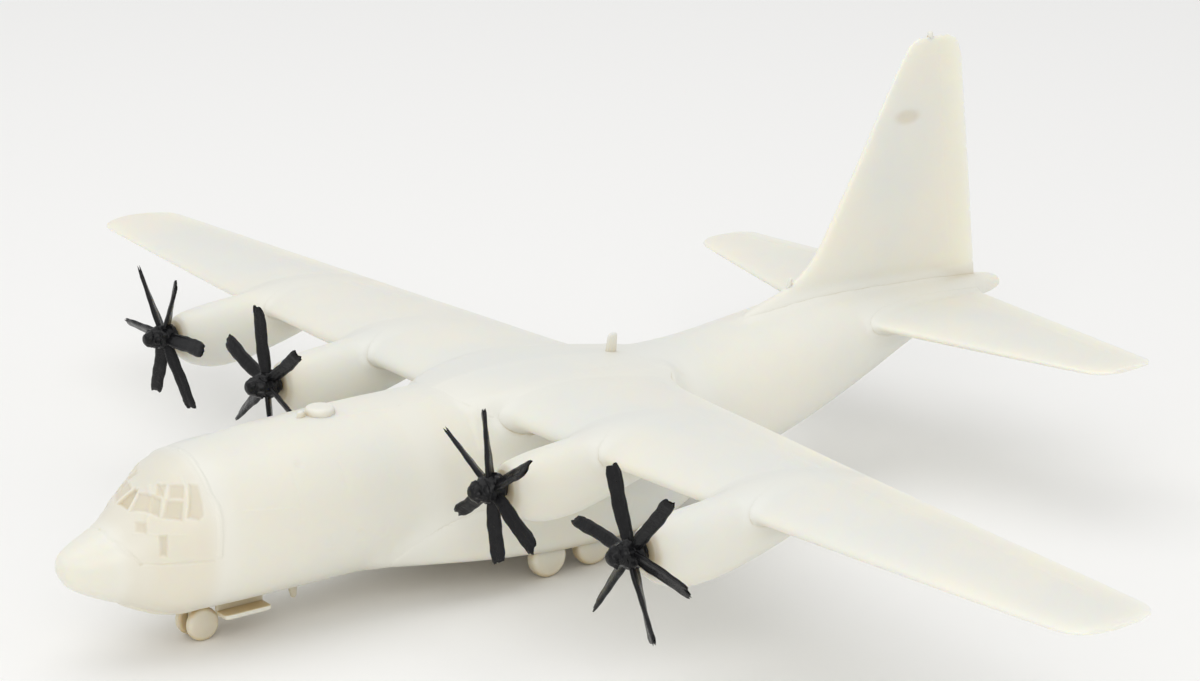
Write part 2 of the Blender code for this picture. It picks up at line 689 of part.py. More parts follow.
def make_small_pieces():
    dome = turned("roof_dome", DOME_PROFILE)
    dome.transform(Matrix.Rotation(-math.pi / 2, 4, "Y"))
    roof = smooth_row(FUSELAGE, DOME_STATION)[2] + GLUE_GAP
    piece("roof_dome", dome).location = at(0, DOME_STATION, roof)
    for name, skin, station, foot_chord, tip_chord, height, thickness in ANTENNAS:
        front = station - foot_chord / 2
        _, _, top, bottom = smooth_row(FUSELAGE, station)
        foot = {"roof": top + GLUE_GAP, "hump": hump_top(front) + GLUE_GAP, "belly": bottom - GLUE_GAP}[skin]
        outline = (
            (front, foot),
            (station + foot_chord / 2, foot),
            (station + tip_chord / 2, foot + height),
            (station - tip_chord / 2, foot + height),
        )
        piece(name, plate_mesh(name, outline, thickness, in_centre_plane))


FUSELAGE_MADE = make_fuselage()
cut_windows(FUSELAGE_MADE["cockpit_section"])
make_wings(FUSELAGE_MADE["centre_fuselage"])
make_engines()
make_propellers()
make_tail()
make_sponsons()
make_nose_gear()
make_small_pieces()
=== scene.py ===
import math

import bpy
import numpy as np
from mathutils import Matrix


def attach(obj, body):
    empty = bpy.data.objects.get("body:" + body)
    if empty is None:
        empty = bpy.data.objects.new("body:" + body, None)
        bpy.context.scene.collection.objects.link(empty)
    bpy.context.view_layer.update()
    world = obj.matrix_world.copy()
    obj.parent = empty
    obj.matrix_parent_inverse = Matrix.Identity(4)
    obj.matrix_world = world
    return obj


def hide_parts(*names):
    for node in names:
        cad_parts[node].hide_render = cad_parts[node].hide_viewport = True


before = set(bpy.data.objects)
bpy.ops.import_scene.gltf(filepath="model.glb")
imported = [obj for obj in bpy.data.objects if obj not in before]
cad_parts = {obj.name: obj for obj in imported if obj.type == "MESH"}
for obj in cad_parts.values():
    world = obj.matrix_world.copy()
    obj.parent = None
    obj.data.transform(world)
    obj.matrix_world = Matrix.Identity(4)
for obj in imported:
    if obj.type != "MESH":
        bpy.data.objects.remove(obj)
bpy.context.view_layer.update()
print("frame loaded:", len(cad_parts), "nodes")


# the frame that the shapes are measured in
# A level point is (out to port, station aft, height) in millimetres. The print stands a little nose
# up, so every level point is pitched about one station before it becomes metres.

level = {"nose": 3.6, "tail": 206.8, "endHeight": 23.8, "pitch": math.radians(1.0), "zeroStation": 63.0}
level["middle"] = (level["nose"] + level["tail"]) / 2 + level["endHeight"] * math.sin(level["pitch"])
metre = 0.001


def pitched(vectors):
    # Vectors turned nose up: a rotation about the axis that runs to port.
    c, s = math.cos(level["pitch"]), math.sin(level["pitch"])
    return np.asarray(vectors, float) @ np.array([[1, 0, 0], [0, c, -s], [0, s, c]])


def placed(points):
    # Level millimetres to the model's metres: shift to the pivot, pitch, shift back, scale.
    pivot = np.array([0, level["zeroStation"] - level["middle"], 0])
    points = np.asarray(points, float) - (0, level["middle"], 0)
    return (pitched(points - pivot) + pivot) * metre


def ground(station):
    # Height of the floor below a station of the level model.
    return (station - level["zeroStation"]) * math.tan(level["pitch"])


# mesh tools


def meshFrom(name, points, faceGroups, sharpDegrees=40):
    # A mesh object from level points and arrays of triangles and quads.
    points = placed(points).astype(np.float32)
    sizes = np.concatenate([np.full(len(group), group.shape[1]) for group in faceGroups])
    corners = np.concatenate([np.asarray(group, np.int32).ravel() for group in faceGroups])
    mesh = bpy.data.meshes.new(name)
    mesh.vertices.add(len(points))
    mesh.vertices.foreach_set("co", points.ravel())
    mesh.loops.add(len(corners))
    mesh.loops.foreach_set("vertex_index", corners)
    mesh.polygons.add(len(sizes))
    mesh.polygons.foreach_set("loop_start", np.concatenate([[0], np.cumsum(sizes)[:-1]]).astype(np.int32))
    mesh.update(calc_edges=True)
    mesh.validate()
    mesh.shade_smooth()
    mesh.set_sharp_from_angle(angle=math.radians(sharpDegrees))
    obj = bpy.data.objects.new(name, mesh)
    bpy.context.scene.collection.objects.link(obj)
    return obj


def gridFaces(rows, columns, closed=True):
    # Quads between neighbouring rows of a grid; a closed grid joins its last column to its first.
    i, j = np.meshgrid(np.arange(rows - 1), np.arange(columns if closed else columns - 1), indexing="ij")
    k = (j + 1) % columns
    quads = np.stack([i * columns + j, i * columns + k, (i + 1) * columns + k, (i + 1) * columns + j], -1)
    return quads.reshape(-1, 4)


def tube(grid):
    # A closed skin over rings: quads along the grid, and a fan of triangles to each end's middle.
    rows, columns = grid.shape[:2]
    points = np.concatenate([grid.reshape(-1, 3), grid[[0, -1]].mean(axis=1)])
    quads = gridFaces(rows, columns)
    j = np.arange(columns)
    k = (j + 1) % columns
    last = (rows - 1) * columns
    front = np.stack([k, j, np.full(columns, rows * columns)], -1)
    back = np.stack([last + j, last + k, np.full(columns, rows * columns + 1)], -1)
    triangles = np.concatenate([front, back])
    a, b, c = (points[triangles[:, i]] for i in range(3))
    p, q, r, s = (points[quads[:, i]] for i in range(4))
    volume = (a * np.cross(b, c)).sum() + (p * np.cross(q, r)).sum() + (p * np.cross(r, s)).sum()
    if volume < 0:
        quads, triangles = quads[:, ::-1], triangles[:, ::-1]
    return points, [quads, triangles]


def joined(shells):
    # Several closed skins as one list of points and faces.
    points, groups, start = [], [], 0
    for shellPoints, shellGroups in shells:
        points.append(shellPoints)
        groups += [group + start for group in shellGroups]
        start += len(shellPoints)
    return np.concatenate(points), groups


def smoothRows(table, places):
    # Rows of a table at places in its first column, on a cubic through the rows with each slope
    # taken from the rows on both sides.
    table, places = np.asarray(table, float), np.asarray(places, float)
    shape = places.shape
    places = places.ravel()
    i = np.clip(np.searchsorted(table[:, 0], places, side="right") - 1, 0, len(table) - 2)
    low, high = table[i], table[i + 1]
    before = np.where((i > 0)[:, None], table[np.maximum(i - 1, 0)], low)
    after = np.where((i < len(table) - 2)[:, None], table[np.minimum(i + 2, len(table) - 1)], high)
    span = (high[:, 0] - low[:, 0])[:, None]
    t = (places - low[:, 0])[:, None] / span
    rise = high - low
    start = (high - before) / (high[:, :1] - before[:, :1]) * span
    end = (after - low) / (after[:, :1] - low[:, :1]) * span
    rows = low + start * t + (3 * rise - 2 * start - end) * t**2 + (start + end - 2 * rise) * t**3
    rows[:, 0] = places
    return rows.reshape(*shape, -1)


def smoothStep(value):
    # 0 below 0 and 1 above 1, with a soft S between.
    value = np.clip(value, 0, 1)
    return value * value * (3 - 2 * value)


def signedPower(value, power):
    return np.sign(value) * np.abs(value) ** power


# the fuselage

fuselage = {
    "roundness": 2.15,
    "rows": [  # station, half width, top, bottom
        (3.6, 0.6, 17.4, 16.2),
        (4.1, 2.0, 18.5, 14.8),
        (5.2, 3.3, 19.4, 13.3),
        (7.5, 4.8, 20.5, 11.8),
        (11.0, 6.4, 21.9, 10.1),
        (13.5, 7.4, 23.3, 9.1),
        (16.5, 9.1, 26.0, 7.6),
        (19.5, 10.9, 28.4, 6.4),
        (23.0, 12.6, 31.0, 5.8),
        (28.0, 13.9, 32.4, 5.6),
        (36.0, 14.7, 32.8, 5.6),
        (48.0, 15.0, 33.4, 5.6),
        (66.0, 15.0, 33.7, 5.6),
        (100.0, 15.0, 33.2, 5.8),
        (114.0, 15.0, 32.7, 6.3),
        (124.0, 14.9, 32.3, 7.2),
        (134.0, 14.4, 32.6, 8.8),
        (146.0, 13.5, 34.0, 11.4),
        (157.0, 12.3, 35.3, 14.9),
        (168.0, 10.3, 35.3, 18.9),
        (180.0, 7.3, 34.6, 23.2),
        (192.0, 4.8, 33.8, 26.9),
        (200.0, 3.1, 33.2, 28.6),
        (204.0, 2.3, 32.7, 29.1),
        (206.0, 1.5, 32.0, 29.7),
        (206.8, 0.5, 31.3, 30.3),
    ],
    "pieces": [  # node, first station, last station, rows, points round
        ("radome", 3.6, 13.5, 60, 300),
        ("cockpit_section", 13.5, 26.5, 112, 440),
        ("forward_fuselage", 26.5, 66.0, 150, 300),
        ("centre_fuselage", 66.0, 124.0, 120, 240),
        ("rear_fuselage", 124.0, 168.0, 70, 200),
        ("tail_section", 168.0, 200.0, 56, 180),
        ("tail_cone", 200.0, 206.8, 30, 110),
    ],
}


def ovalOf(table, station, degrees):
    # A point of an oval skin: half width times a power of the sine of the angle out, and half height
    # times a power of its cosine up from the section's middle.
    rows = smoothRows(table, station)
    angle, power = np.radians(degrees), 2 / fuselage["roundness"]
    middle, half = (rows[..., 2] + rows[..., 3]) / 2, (rows[..., 2] - rows[..., 3]) / 2
    out = rows[..., 1] * signedPower(np.sin(angle), power)
    return np.stack([out, rows[..., 0], middle + half * signedPower(np.cos(angle), power)], -1)


def oval(station, degrees):
    return ovalOf(fuselage["rows"], station, degrees)


def normalsOf(shape, u, v, du, dv):
    # Unit normals of a surface of two parameters: the cross product of its two slopes.
    alongU = shape(u + du, v) - shape(u - du, v)
    alongV = shape(u, v + dv) - shape(u, v - dv)
    normals = np.cross(alongV, alongU)
    return normals / np.maximum(np.linalg.norm(normals, axis=-1, keepdims=True), 1e-12)


def turnedOut(normals, axis, offset):
    # The normals, all turned round if most point in; the offset is how far each point lies from the
    # shape's middle along that axis.
    return normals * np.sign(np.median(normals[..., axis] * offset))


def tubeDistance(points, table, roundness, out=0.0):
    # Distance from a round tube: how far a point is past the skin, along the line from the middle
    # of the section at its station.
    station = np.clip(points[..., 1], table[0][0], table[-1][0])
    rows = smoothRows(table, station)
    half, top, bottom = rows[..., -3], rows[..., -2], rows[..., -1]
    across = np.abs(points[..., 0] - out)
    up = np.abs(points[..., 2] - (top + bottom) / 2)
    n = roundness
    share = ((across / half) ** n + (up / ((top - bottom) / 2)) ** n) ** (1 / n)
    radius = np.hypot(across, up)
    past = radius * (1 - 1 / np.maximum(share, 1e-6))
    return np.hypot(np.maximum(past, 0), points[..., 1] - station) + np.minimum(past, 0)


blend = {"steps": 4, "crossingNear": 0.8, "crossingFar": 3.2}  # how near the crossing line is marked


def filleted(points, normals, distance, width):
    # The points pushed out along their normals to the smooth union with a neighbour: where both
    # distances are less than the width apart, the skin rises by the square of what is left over four
    # widths. It also gives how near each point is to the line where the two skins cross, 1 on it.
    offset = np.zeros(points.shape[:-1])
    width = width(points) if callable(width) else width
    for step in range(blend["steps"]):
        other = distance(points + normals * offset[..., None])
        offset = np.maximum(width - np.abs(offset - other), 0) ** 2 / (4 * width)
    away = np.abs(offset - other) - blend["crossingNear"]
    crossing = 1 - smoothStep(away / (blend["crossingFar"] - blend["crossingNear"]))
    return points + normals * offset[..., None], crossing


# raised and sunk details of the skin, on both sides, at (station, degrees round from the top)
skinLines = [  # points, width, height (below zero is a groove)
    ([(26.5, 0), (26.4, 10), (26.0, 27), (25.8, 49), (26.3, 60), (26.2, 70), (25.6, 92)], 0.8, 0.17),
    ([(11.2, 0), (11.2, 29), (12.0, 49), (13.0, 65.5), (14.3, 82)], 0.55, -0.13),
    ([(14.3, 82), (17.0, 87.5), (19.7, 89.5), (24.7, 95)], 0.40, -0.10),
    ([(19.4, 10), (17.8, 29), (16.2, 45)], 0.7, 0.07),
    ([(20.6, 15), (20.1, 33), (18.5, 49)], 0.5, 0.06),
    ([(23.2, 25), (22.6, 46), (21.3, 60)], 0.5, 0.06),
    ([(14.4, 43.5), (17.3, 60), (20.6, 69.5)], 0.4, 0.04),
    ([(28.1, 65.5), (33.5, 69), (39.6, 73)], 0.30, 0.06),
    ([(40.6, 48), (40.3, 62), (39.8, 84)], 0.35, -0.05),
    ([(49.1, 50), (49.4, 60), (49.4, 71)], 0.35, -0.06),
    ([(57.2, 40), (57.2, 60), (57.5, 78)], 0.30, -0.05),
    ([(54.2, 12), (62.3, 14.5), (70.9, 16.5)], 0.40, 0.07),
    ([(44.2, 104.5), (46.6, 105.5)], 0.35, 0.07),
    ([(50.1, 105.5), (52.2, 106.5)], 0.35, 0.07),
    ([(54.9, 107), (57.0, 108)], 0.35, 0.07),
]
skinPanes = [  # corners, depth
    ([(18.3, 2.0), (17.8, -2.0), (15.5, -10), (15.5, 10)], 0.26),
    ([(17.9, 6), (19.5, 30), (18.2, 44), (15.5, 15.5)], 0.26),
    ([(19.9, 35), (21.8, 45), (20.8, 58), (18.5, 47)], 0.20),
    ([(23.7, 35), (24.7, 39), (23.9, 62), (23.1, 64), (21.6, 58.5)], 0.24),
    ([(20.2, 15.5), (21.0, 22.5), (19.9, 30), (19.2, 23.5)], 0.16),
    ([(21.3, 25.5), (22.9, 34), (22.0, 43), (20.4, 35.5)], 0.16),
    ([(15.2, 32), (16.4, 42.5), (15.9, 52.5), (14.7, 43)], 0.18),
    ([(17.4, 61), (18.4, 64), (17.9, 81.5), (17.1, 79.5)], 0.22),
]
skinDots = [  # station, degrees, radius, height
    (42.3, 44, 0.75, -0.14),
    (45.4, 99, 0.7, -0.09),
    (51.2, 99.5, 0.7, -0.11),
    (55.7, 101, 0.7, -0.09),
    (65.3, 88, 0.5, -0.07),
    (62.0, 158, 0.6, 0.35),
]
skinPads = [  # front edge (degrees, station), last station, first and last degrees, softness of both, height
    ([(0, 78.5), (30, 77.7), (47, 75.7), (90, 75.4)], 124.0, 16, 74, 1.0, 12, 0.30),
    ([(150, 14.6), (180, 14.0)], 27.0, 155, 200, 0.5, 5, 0.32),
]
paneWall = 0.7  # how far a pane's soft wall reaches
padEnd = 4.0  # how long a pad runs out at its last station
noseTint = {"from": 11.0, "to": 27.0, "soft": 3.0, "share": 0.16}
# share of painted shade that tints each pane's sunk floor tan
panePaintedShade = 0.22


def segmentDistance(points, path):
    # Least distance from each point to a run of straight segments.
    a, b = path[:-1], path[1:]
    along = b - a
    t = ((points[:, None] - a) * along).sum(-1) / np.maximum((along * along).sum(-1), 1e-12)
    nearest = a + np.clip(t, 0, 1)[..., None] * along
    return np.linalg.norm(points[:, None] - nearest, axis=-1).min(axis=1)


def onSkin(corners, side, shut=False):
    # Corners joined by lines that follow the skin, as points in space.
    corners = np.array(corners + corners[:1] if shut else corners, float)
    t = np.linspace(0, len(corners) - 1, 8 * (len(corners) - 1) + 1)
    station = np.interp(t, np.arange(len(corners)), corners[:, 0])
    degrees = np.interp(t, np.arange(len(corners)), corners[:, 1])
    return oval(station, degrees * side)


def insideOutline(u, v, corners):
    # Even-odd test of points against a closed outline.
    inside = np.zeros(u.shape, bool)
    for (u0, v0), (u1, v1) in zip(corners, corners[1:] + corners[:1]):
        crosses = (v0 > v) != (v1 > v)
        inside ^= crosses & (u < (u1 - u0) * (v - v0) / (v1 - v0 if v1 != v0 else 1) + u0)
    return inside


def lineRelief(points, path, width, height):
    # A rounded ridge or groove: full height on the line, nothing past three quarters of its width.
    return height * smoothStep(1.5 - segmentDistance(points, path) / (width / 2))


def reliefOn(points, lines):
    # The heights of several ridges and grooves together, at points of a plane.
    flat = points.reshape(-1, 2)
    total = sum(lineRelief(flat, np.array(path, float), width, height) for path, width, height in lines)
    return total.reshape(points.shape[:-1])


def skinRelief(points, station, degrees):
    # Height of the details above the plain skin: ridges and grooves along the lines, a flat floor with soft
    # walls in each pane, a dish at each dot, and a low step over each pad. Also how far each point is tinted:
    # a warm tone over the nose, and painted shade on each pane's sunk floor.
    flat = points.reshape(-1, 3)
    station, degrees = station.ravel(), degrees.ravel()
    relief = np.zeros(len(flat))
    start, end = station - noseTint["from"], noseTint["to"] - station
    toneAndPaintedShade = noseTint["share"] * smoothStep(start / noseTint["soft"]) * smoothStep(end / noseTint["soft"])

    def near(path, reach):
        low, high = path.min(axis=0) - reach, path.max(axis=0) + reach
        return np.flatnonzero(((flat > low) & (flat < high)).all(axis=1))

    for side in (1, -1):
        for corners, width, height in skinLines:
            path = onSkin(corners, side)
            found = near(path, width)
            if len(found):
                relief[found] += lineRelief(flat[found], path, width, height)
        for corners, depth in skinPanes:
            path = onSkin(corners, side, shut=True)
            found = near(path, 1.5 * paneWall)
            if len(found):
                away = segmentDistance(flat[found], path)
                within = insideOutline(station[found], degrees[found] * side, corners)
                sunk = smoothStep(0.5 + np.where(within, away, -away) / paneWall)
                relief[found] -= depth * sunk
                # painted shade: each pane's sunk floor is tinted tan
                toneAndPaintedShade[found] += panePaintedShade * sunk
        for atStation, atDegrees, radius, height in skinDots:
            centre = oval(np.array([atStation]), np.array([atDegrees * side]))
            found = near(centre, radius * 1.5)
            if len(found):
                away = np.linalg.norm(flat[found] - centre, axis=1) / radius
                relief[found] += height * smoothStep(1.6 - 1.2 * away)
    turned = np.abs(degrees)
    for front, last, low, high, soft, softDegrees, height in skinPads:
        first = np.interp(turned, *np.array(front, float).T)
        along = smoothStep((station - first) / soft + 0.5) * smoothStep((last - station) / padEnd)
        around = smoothStep((turned - low) / softDegrees) * smoothStep((high - turned) / softDegrees)
        relief += height * along * around
    return relief.reshape(points.shape[:-1]), toneAndPaintedShade.reshape(points.shape[:-1])


# wings, tail and the fairing over the fuselage

wing = {
    "camber": 0.18,
    "edge": 0.12,
    "rows": [  # out, leading, trailing, leading height, trailing height, thickness
        (12.0, 81.6, 117.4, 30.2, 29.7, 6.0),
        (45.0, 81.9, 113.1, 30.4, 30.3, 5.0),
        (78.0, 83.4, 109.4, 30.4, 30.8, 3.9),
        (137.0, 87.6, 104.8, 30.7, 30.9, 2.1),
        (140.4, 88.4, 104.2, 30.7, 30.9, 1.7),
        (142.5, 90.4, 102.4, 30.8, 30.9, 1.1),
        (143.4, 93.7, 99.6, 30.8, 30.9, 0.5),
    ],
    "fairing": [
        (0.0, 74.0, 121.0, 32.6, 31.9, 4.2),
        (5.0, 75.2, 120.6, 31.9, 31.3, 4.6),
        (9.5, 78.6, 119.0, 30.9, 30.3, 5.5),
        (12.0, 81.6, 117.4, 30.2, 29.7, 6.0),
    ],
    "tailplane": [
        (1.5, 163.9, 197.8, 30.8, 31.0, 3.9),
        (52.6, 176.9, 191.5, 30.8, 31.0, 1.7),
        (55.7, 178.3, 191.1, 30.8, 31.0, 1.3),
        (57.4, 180.4, 189.4, 30.9, 31.0, 0.7),
    ],
}


def foil(table, out, turn, camber, smooth=False):
    # A point of a wing section: the turn runs from 0 at the tail over the top to 1 at the nose and
    # back below to 2. The share of the chord follows a cosine of it, and the half thickness is the
    # usual round-nosed curve plus a thin blunt tail.
    rows = smoothRows(table, out) if smooth else linearRows(table, out)
    leading, trailing, front, back, thickness = (rows[..., i] for i in range(1, 6))
    share = (1 + np.cos(math.pi * turn)) / 2
    side = np.where(turn <= 1, 1, -1)
    shape = 2.969 * share**0.5 - 1.26 * share - 3.516 * share**2 + 2.843 * share**3 - 1.036 * share**4
    half = shape * thickness / 2 + wing["edge"] * share
    lift = camber * thickness * 4 * share * (1 - share)
    height = front + (back - front) * share + lift + side * half
    return np.stack([rows[..., 0] + 0 * share, leading + (trailing - leading) * share, height], -1)


def linearRows(table, places):
    # Rows of a table on straight lines between its rows.
    table = np.asarray(table, float)
    columns = [np.interp(places, table[:, 0], table[:, i]) for i in range(1, table.shape[1])]
    return np.stack([np.asarray(places, float)] + columns, -1)


def foilDistance(points, table, camber, out, smooth=False, samples=40):
    # Distance from a wing in the section at each point's place across, less than zero inside.
    rows = np.clip(out, table[0][0], table[-1][0]).ravel()
    turn = np.linspace(0, 2, samples)
    outline = foil(table, rows[:, None], np.broadcast_to(turn, (len(rows), samples)), camber, smooth)[..., 1:]
    flat = points.reshape(-1, 2)[:, None]
    a = outline
    b = np.roll(outline, -1, axis=1)
    along = b - a
    t = ((flat - a) * along).sum(-1) / np.maximum((along * along).sum(-1), 1e-12)
    away = np.linalg.norm(a + np.clip(t, 0, 1)[..., None] * along - flat, axis=-1).min(axis=1)
    crosses = (a[..., 1] > flat[..., 1]) != (b[..., 1] > flat[..., 1])
    slope = (b[..., 0] - a[..., 0]) / np.where(b[..., 1] == a[..., 1], 1, b[..., 1] - a[..., 1])
    inside = (crosses & (flat[..., 0] < a[..., 0] + slope * (flat[..., 1] - a[..., 1]))).sum(axis=1) % 2
    return np.where(inside == 1, -away, away).reshape(points.shape[:-1])


def wingDistance(points):
    # Distance from either wing, and past its tip.
    out = np.abs(points[..., 0])
    return foilDistance(points[..., 1:], wing["fairing"][:-1] + wing["rows"], wing["camber"], out)


# engines

engine = {
    "hubStation": 63.5,
    "hubHeight": 27.7,
    "outs": {"inner": 34.9, "outer": 71.9},
    "rows": [  # station, half width, top, bottom
        (66.0, 2.7, 30.2, 24.3),
        (66.8, 3.7, 31.0, 22.9),
        (69.0, 4.5, 31.6, 21.4),
        (73.0, 5.0, 32.2, 20.3),
        (79.0, 5.1, 32.7, 20.5),
        (85.0, 5.0, 33.2, 21.8),
        (91.0, 4.6, 33.3, 23.4),
        (97.0, 3.8, 32.8, 25.1),
        (103.0, 2.7, 31.6, 26.7),
        (108.0, 1.3, 30.2, 28.0),
    ],
}


def nacelleDistance(points):
    # Distance from the nearest of the four nacelles.
    away = [tubeDistance(points, engine["rows"], fuselage["roundness"], side * out)
            for out in engine["outs"].values() for side in (1, -1)]
    return np.min(away, axis=0)


def fuselageDistance(points):
    return tubeDistance(points, fuselage["rows"], fuselage["roundness"])


# the fin

fin = {
    "rows": [  # height, leading, trailing, thickness
        (31.0, 141.0, 200.6, 3.4),
        (35.0, 146.0, 200.3, 3.8),
        (37.6, 153.0, 200.0, 4.1),
        (41.0, 158.6, 199.6, 4.2),
        (47.0, 163.2, 199.0, 3.9),
        (75.0, 179.5, 195.7, 1.8),
        (78.2, 181.5, 195.0, 1.6),
        (80.0, 183.1, 193.9, 1.3),
        (80.9, 185.0, 191.8, 0.7),
    ],
}


fin["table"] = [(height, leading, trailing, 0, 0, thick) for height, leading, trailing, thick in fin["rows"]]


def finRow(height, turn):
    # A point of the fin: the wing section laid across, round a middle that stands on the centreline.
    points = foil(fin["table"], height, turn, 0.0, smooth=True)
    return np.stack([points[..., 2], points[..., 1], points[..., 0]], -1)


def finDistance(points):
    return foilDistance(points[..., [1, 0]], fin["table"], 0.0, points[..., 2], smooth=True)


def tailplaneDistance(points):
    return foilDistance(points[..., 1:], wing["tailplane"], 0.0, np.abs(points[..., 0]))


# sponsons over the main wheels

sponson = {
    "roundness": 2.6,
    "rows": [  # station, out, half width, top, bottom
        (58.0, 9.8, 0.8, 11.4, 9.6),
        (63.0, 10.8, 3.0, 13.6, 8.2),
        (69.0, 11.6, 4.6, 15.0, 7.2),
        (76.0, 12.1, 5.4, 15.6, 6.3),
        (84.0, 12.2, 5.5, 15.4, 5.4),
        (92.0, 12.2, 5.5, 15.4, 4.6),
        (104.0, 12.2, 5.5, 15.4, 4.5),
        (113.0, 12.0, 4.9, 14.8, 5.4),
        (120.0, 11.4, 3.6, 13.6, 7.4),
        (125.0, 10.6, 1.4, 12.2, 9.6),
    ],
}


def sponsonPoint(station, turn, side):
    # A rounded box of a section: a high power of sine and cosine round a middle that drifts out.
    rows = smoothRows(sponson["rows"], station)
    power = 2 / sponson["roundness"]
    out = rows[..., 1] + rows[..., 2] * signedPower(np.sin(turn), power)
    middle, half = (rows[..., 3] + rows[..., 4]) / 2, (rows[..., 3] - rows[..., 4]) / 2
    return np.stack([side * out, rows[..., 0], middle + half * signedPower(np.cos(turn), power)], -1)


def sponsonDistance(points):
    # The nearer sponson; its middle drifts out along it.
    table = sponson["rows"]
    rows = smoothRows(table, np.clip(points[..., 1], table[0][0], table[-1][0]))
    shifted = points.copy()
    shifted[..., 0] = np.abs(points[..., 0]) - rows[..., 1]
    return tubeDistance(shifted, [(row[0], *row[2:]) for row in table], sponson["roundness"])


roots = {"wingTop": 0.5, "wingSide": 5.0, "wingFrom": 4.5, "wingTo": 11.5,
         "finBack": 0.3, "finFront": 3.3, "finFrom": 196.0, "finTo": 186.0}


def wingRootWidth(points):
    # Fillet width where wing and fuselage meet: wide at the sides, hardly any over the top.
    share = smoothStep((np.abs(points[..., 0]) - roots["wingFrom"]) / (roots["wingTo"] - roots["wingFrom"]))
    return roots["wingTop"] + (roots["wingSide"] - roots["wingTop"]) * share


def finRootWidth(points):
    # Fillet width at the fin's foot: it runs out towards the rudder.
    share = smoothStep((roots["finFrom"] - points[..., 1]) / (roots["finFrom"] - roots["finTo"]))
    return roots["finBack"] + (roots["finFront"] - roots["finBack"]) * share


def nearOnly(points, normals, distance, width, box, crossing=0.0):
    # Fillets only where points lie in a box (lowest and highest corner), to save time.
    inBox = ((points > box[0]) & (points < box[1])).all(axis=-1)
    found = np.nonzero(inBox)
    result, crossing = points.copy(), crossing + np.zeros(points.shape[:-1])
    if len(found[0]):
        result[found], close = filleted(points[found], normals[found], distance, width)
        crossing[found] = np.maximum(crossing[found], close)
    return result, crossing


# finishes


def newMaterial(name):
    made = bpy.data.materials.new(name)
    made.use_nodes = True
    tree = made.node_tree
    return made, tree, tree.nodes["Principled BSDF"]


def nodeOf(tree, kind, **settings):
    made = tree.nodes.new(kind)
    for key, value in settings.items():
        if hasattr(made, key):
            setattr(made, key, value)
        else:
            made.inputs[key.replace("_", " ")].default_value = value
    return made


def wire(tree, *links):
    # Each link is a node, its output, another node and its input.
    for source, output, target, name in links:
        tree.links.new(source.outputs[output], target.inputs[name])


ivory = {
    "light": (0.83, 0.81, 0.72, 1),
    "dark": (0.78, 0.785, 0.735, 1),
    # tan: the colour of painted shade in corners and panes, and of the nose's warm tone
    "tan": (0.60, 0.48, 0.27, 1),
    "blotch": 38.0,
    "layers": (60.0, 1500.0, 60.0),
    "bump": 0.00003,
    "bumpShare": 0.6,
    "radius": (1.0, 0.8, 0.5),
    "depth": 0.0016,
    "roughness": 0.36,
    "bending": 1.46,
    # painted shade: how far ambient occlusion looks, and the openness range that it turns to tan
    "paintedShadeReach": 0.008,
    "paintedShadeOpenness": (0.80, 0.15),
}


def ivoryPrint():
    # Milky bone-white plastic: two tones mixed by a slow noise. Painted shade turns the colour tan where
    # ambient occlusion finds closed-in corners and surfaces close by, the floor among them, and where a
    # piece's tint attribute marks it: a warm tone over the nose, painted shade in the panes and the fin's
    # dent. Light scatters below the skin, and a shallow bump of the print's layers runs across the body.
    made, tree, shader = newMaterial("ivory_print")
    place = nodeOf(tree, "ShaderNodeTexCoord")
    slow = nodeOf(tree, "ShaderNodeTexNoise", Scale=ivory["blotch"], Detail=3.0)
    ramp = nodeOf(tree, "ShaderNodeValToRGB")
    ramp.color_ramp.elements[0].position, ramp.color_ramp.elements[1].position = 0.35, 0.65
    ramp.color_ramp.elements[0].color, ramp.color_ramp.elements[1].color = ivory["dark"], ivory["light"]
    # painted shade: ambient occlusion turns closed-in corners and undersides near the floor tan
    corner = nodeOf(tree, "ShaderNodeAmbientOcclusion", samples=6, Distance=ivory["paintedShadeReach"])
    closed = nodeOf(tree, "ShaderNodeMapRange")
    closed.inputs["From Min"].default_value, closed.inputs["From Max"].default_value = ivory["paintedShadeOpenness"]
    marked = nodeOf(tree, "ShaderNodeAttribute", attribute_name="toneAndPaintedShade")
    both = nodeOf(tree, "ShaderNodeMath", operation="ADD", use_clamp=True)
    tone = nodeOf(tree, "ShaderNodeMixRGB")
    tone.inputs["Color2"].default_value = ivory["tan"]
    stretched = nodeOf(tree, "ShaderNodeMapping")
    stretched.inputs["Scale"].default_value = ivory["layers"]
    fine = nodeOf(tree, "ShaderNodeTexNoise", Scale=1.0, Detail=2.0)
    bump = nodeOf(tree, "ShaderNodeBump", Strength=ivory["bumpShare"], Distance=ivory["bump"])
    seam = nodeOf(tree, "ShaderNodeAttribute", attribute_name="seam")
    weight = nodeOf(tree, "ShaderNodeMath", operation="SUBTRACT")
    weight.inputs[0].default_value = 1.0
    wire(tree, (place, "Object", slow, "Vector"), (slow, "Fac", ramp, "Fac"), (corner, "AO", closed, "Value"),
         (closed, "Result", both, 0), (marked, "Fac", both, 1), (both, "Value", tone, "Fac"),
         (ramp, "Color", tone, "Color1"), (tone, "Color", shader, "Base Color"),
         (place, "Object", stretched, "Vector"), (stretched, "Vector", fine, "Vector"),
         (fine, "Fac", bump, "Height"), (bump, "Normal", shader, "Normal"),
         (seam, "Fac", weight, 1), (weight, "Value", shader, "Subsurface Weight"))
    shader.inputs["Subsurface Radius"].default_value = ivory["radius"]
    shader.inputs["Subsurface Scale"].default_value = ivory["depth"]
    shader.inputs["Roughness"].default_value = ivory["roughness"]
    shader.inputs["IOR"].default_value = ivory["bending"]
    return made


black = {"low": (0.0035, 0.0035, 0.004, 1), "high": (0.012, 0.012, 0.013, 1), "grain": 1400.0,
         "bump": 0.00012, "bumpShare": 0.8, "gloss": 0.22, "roughness": 0.26}


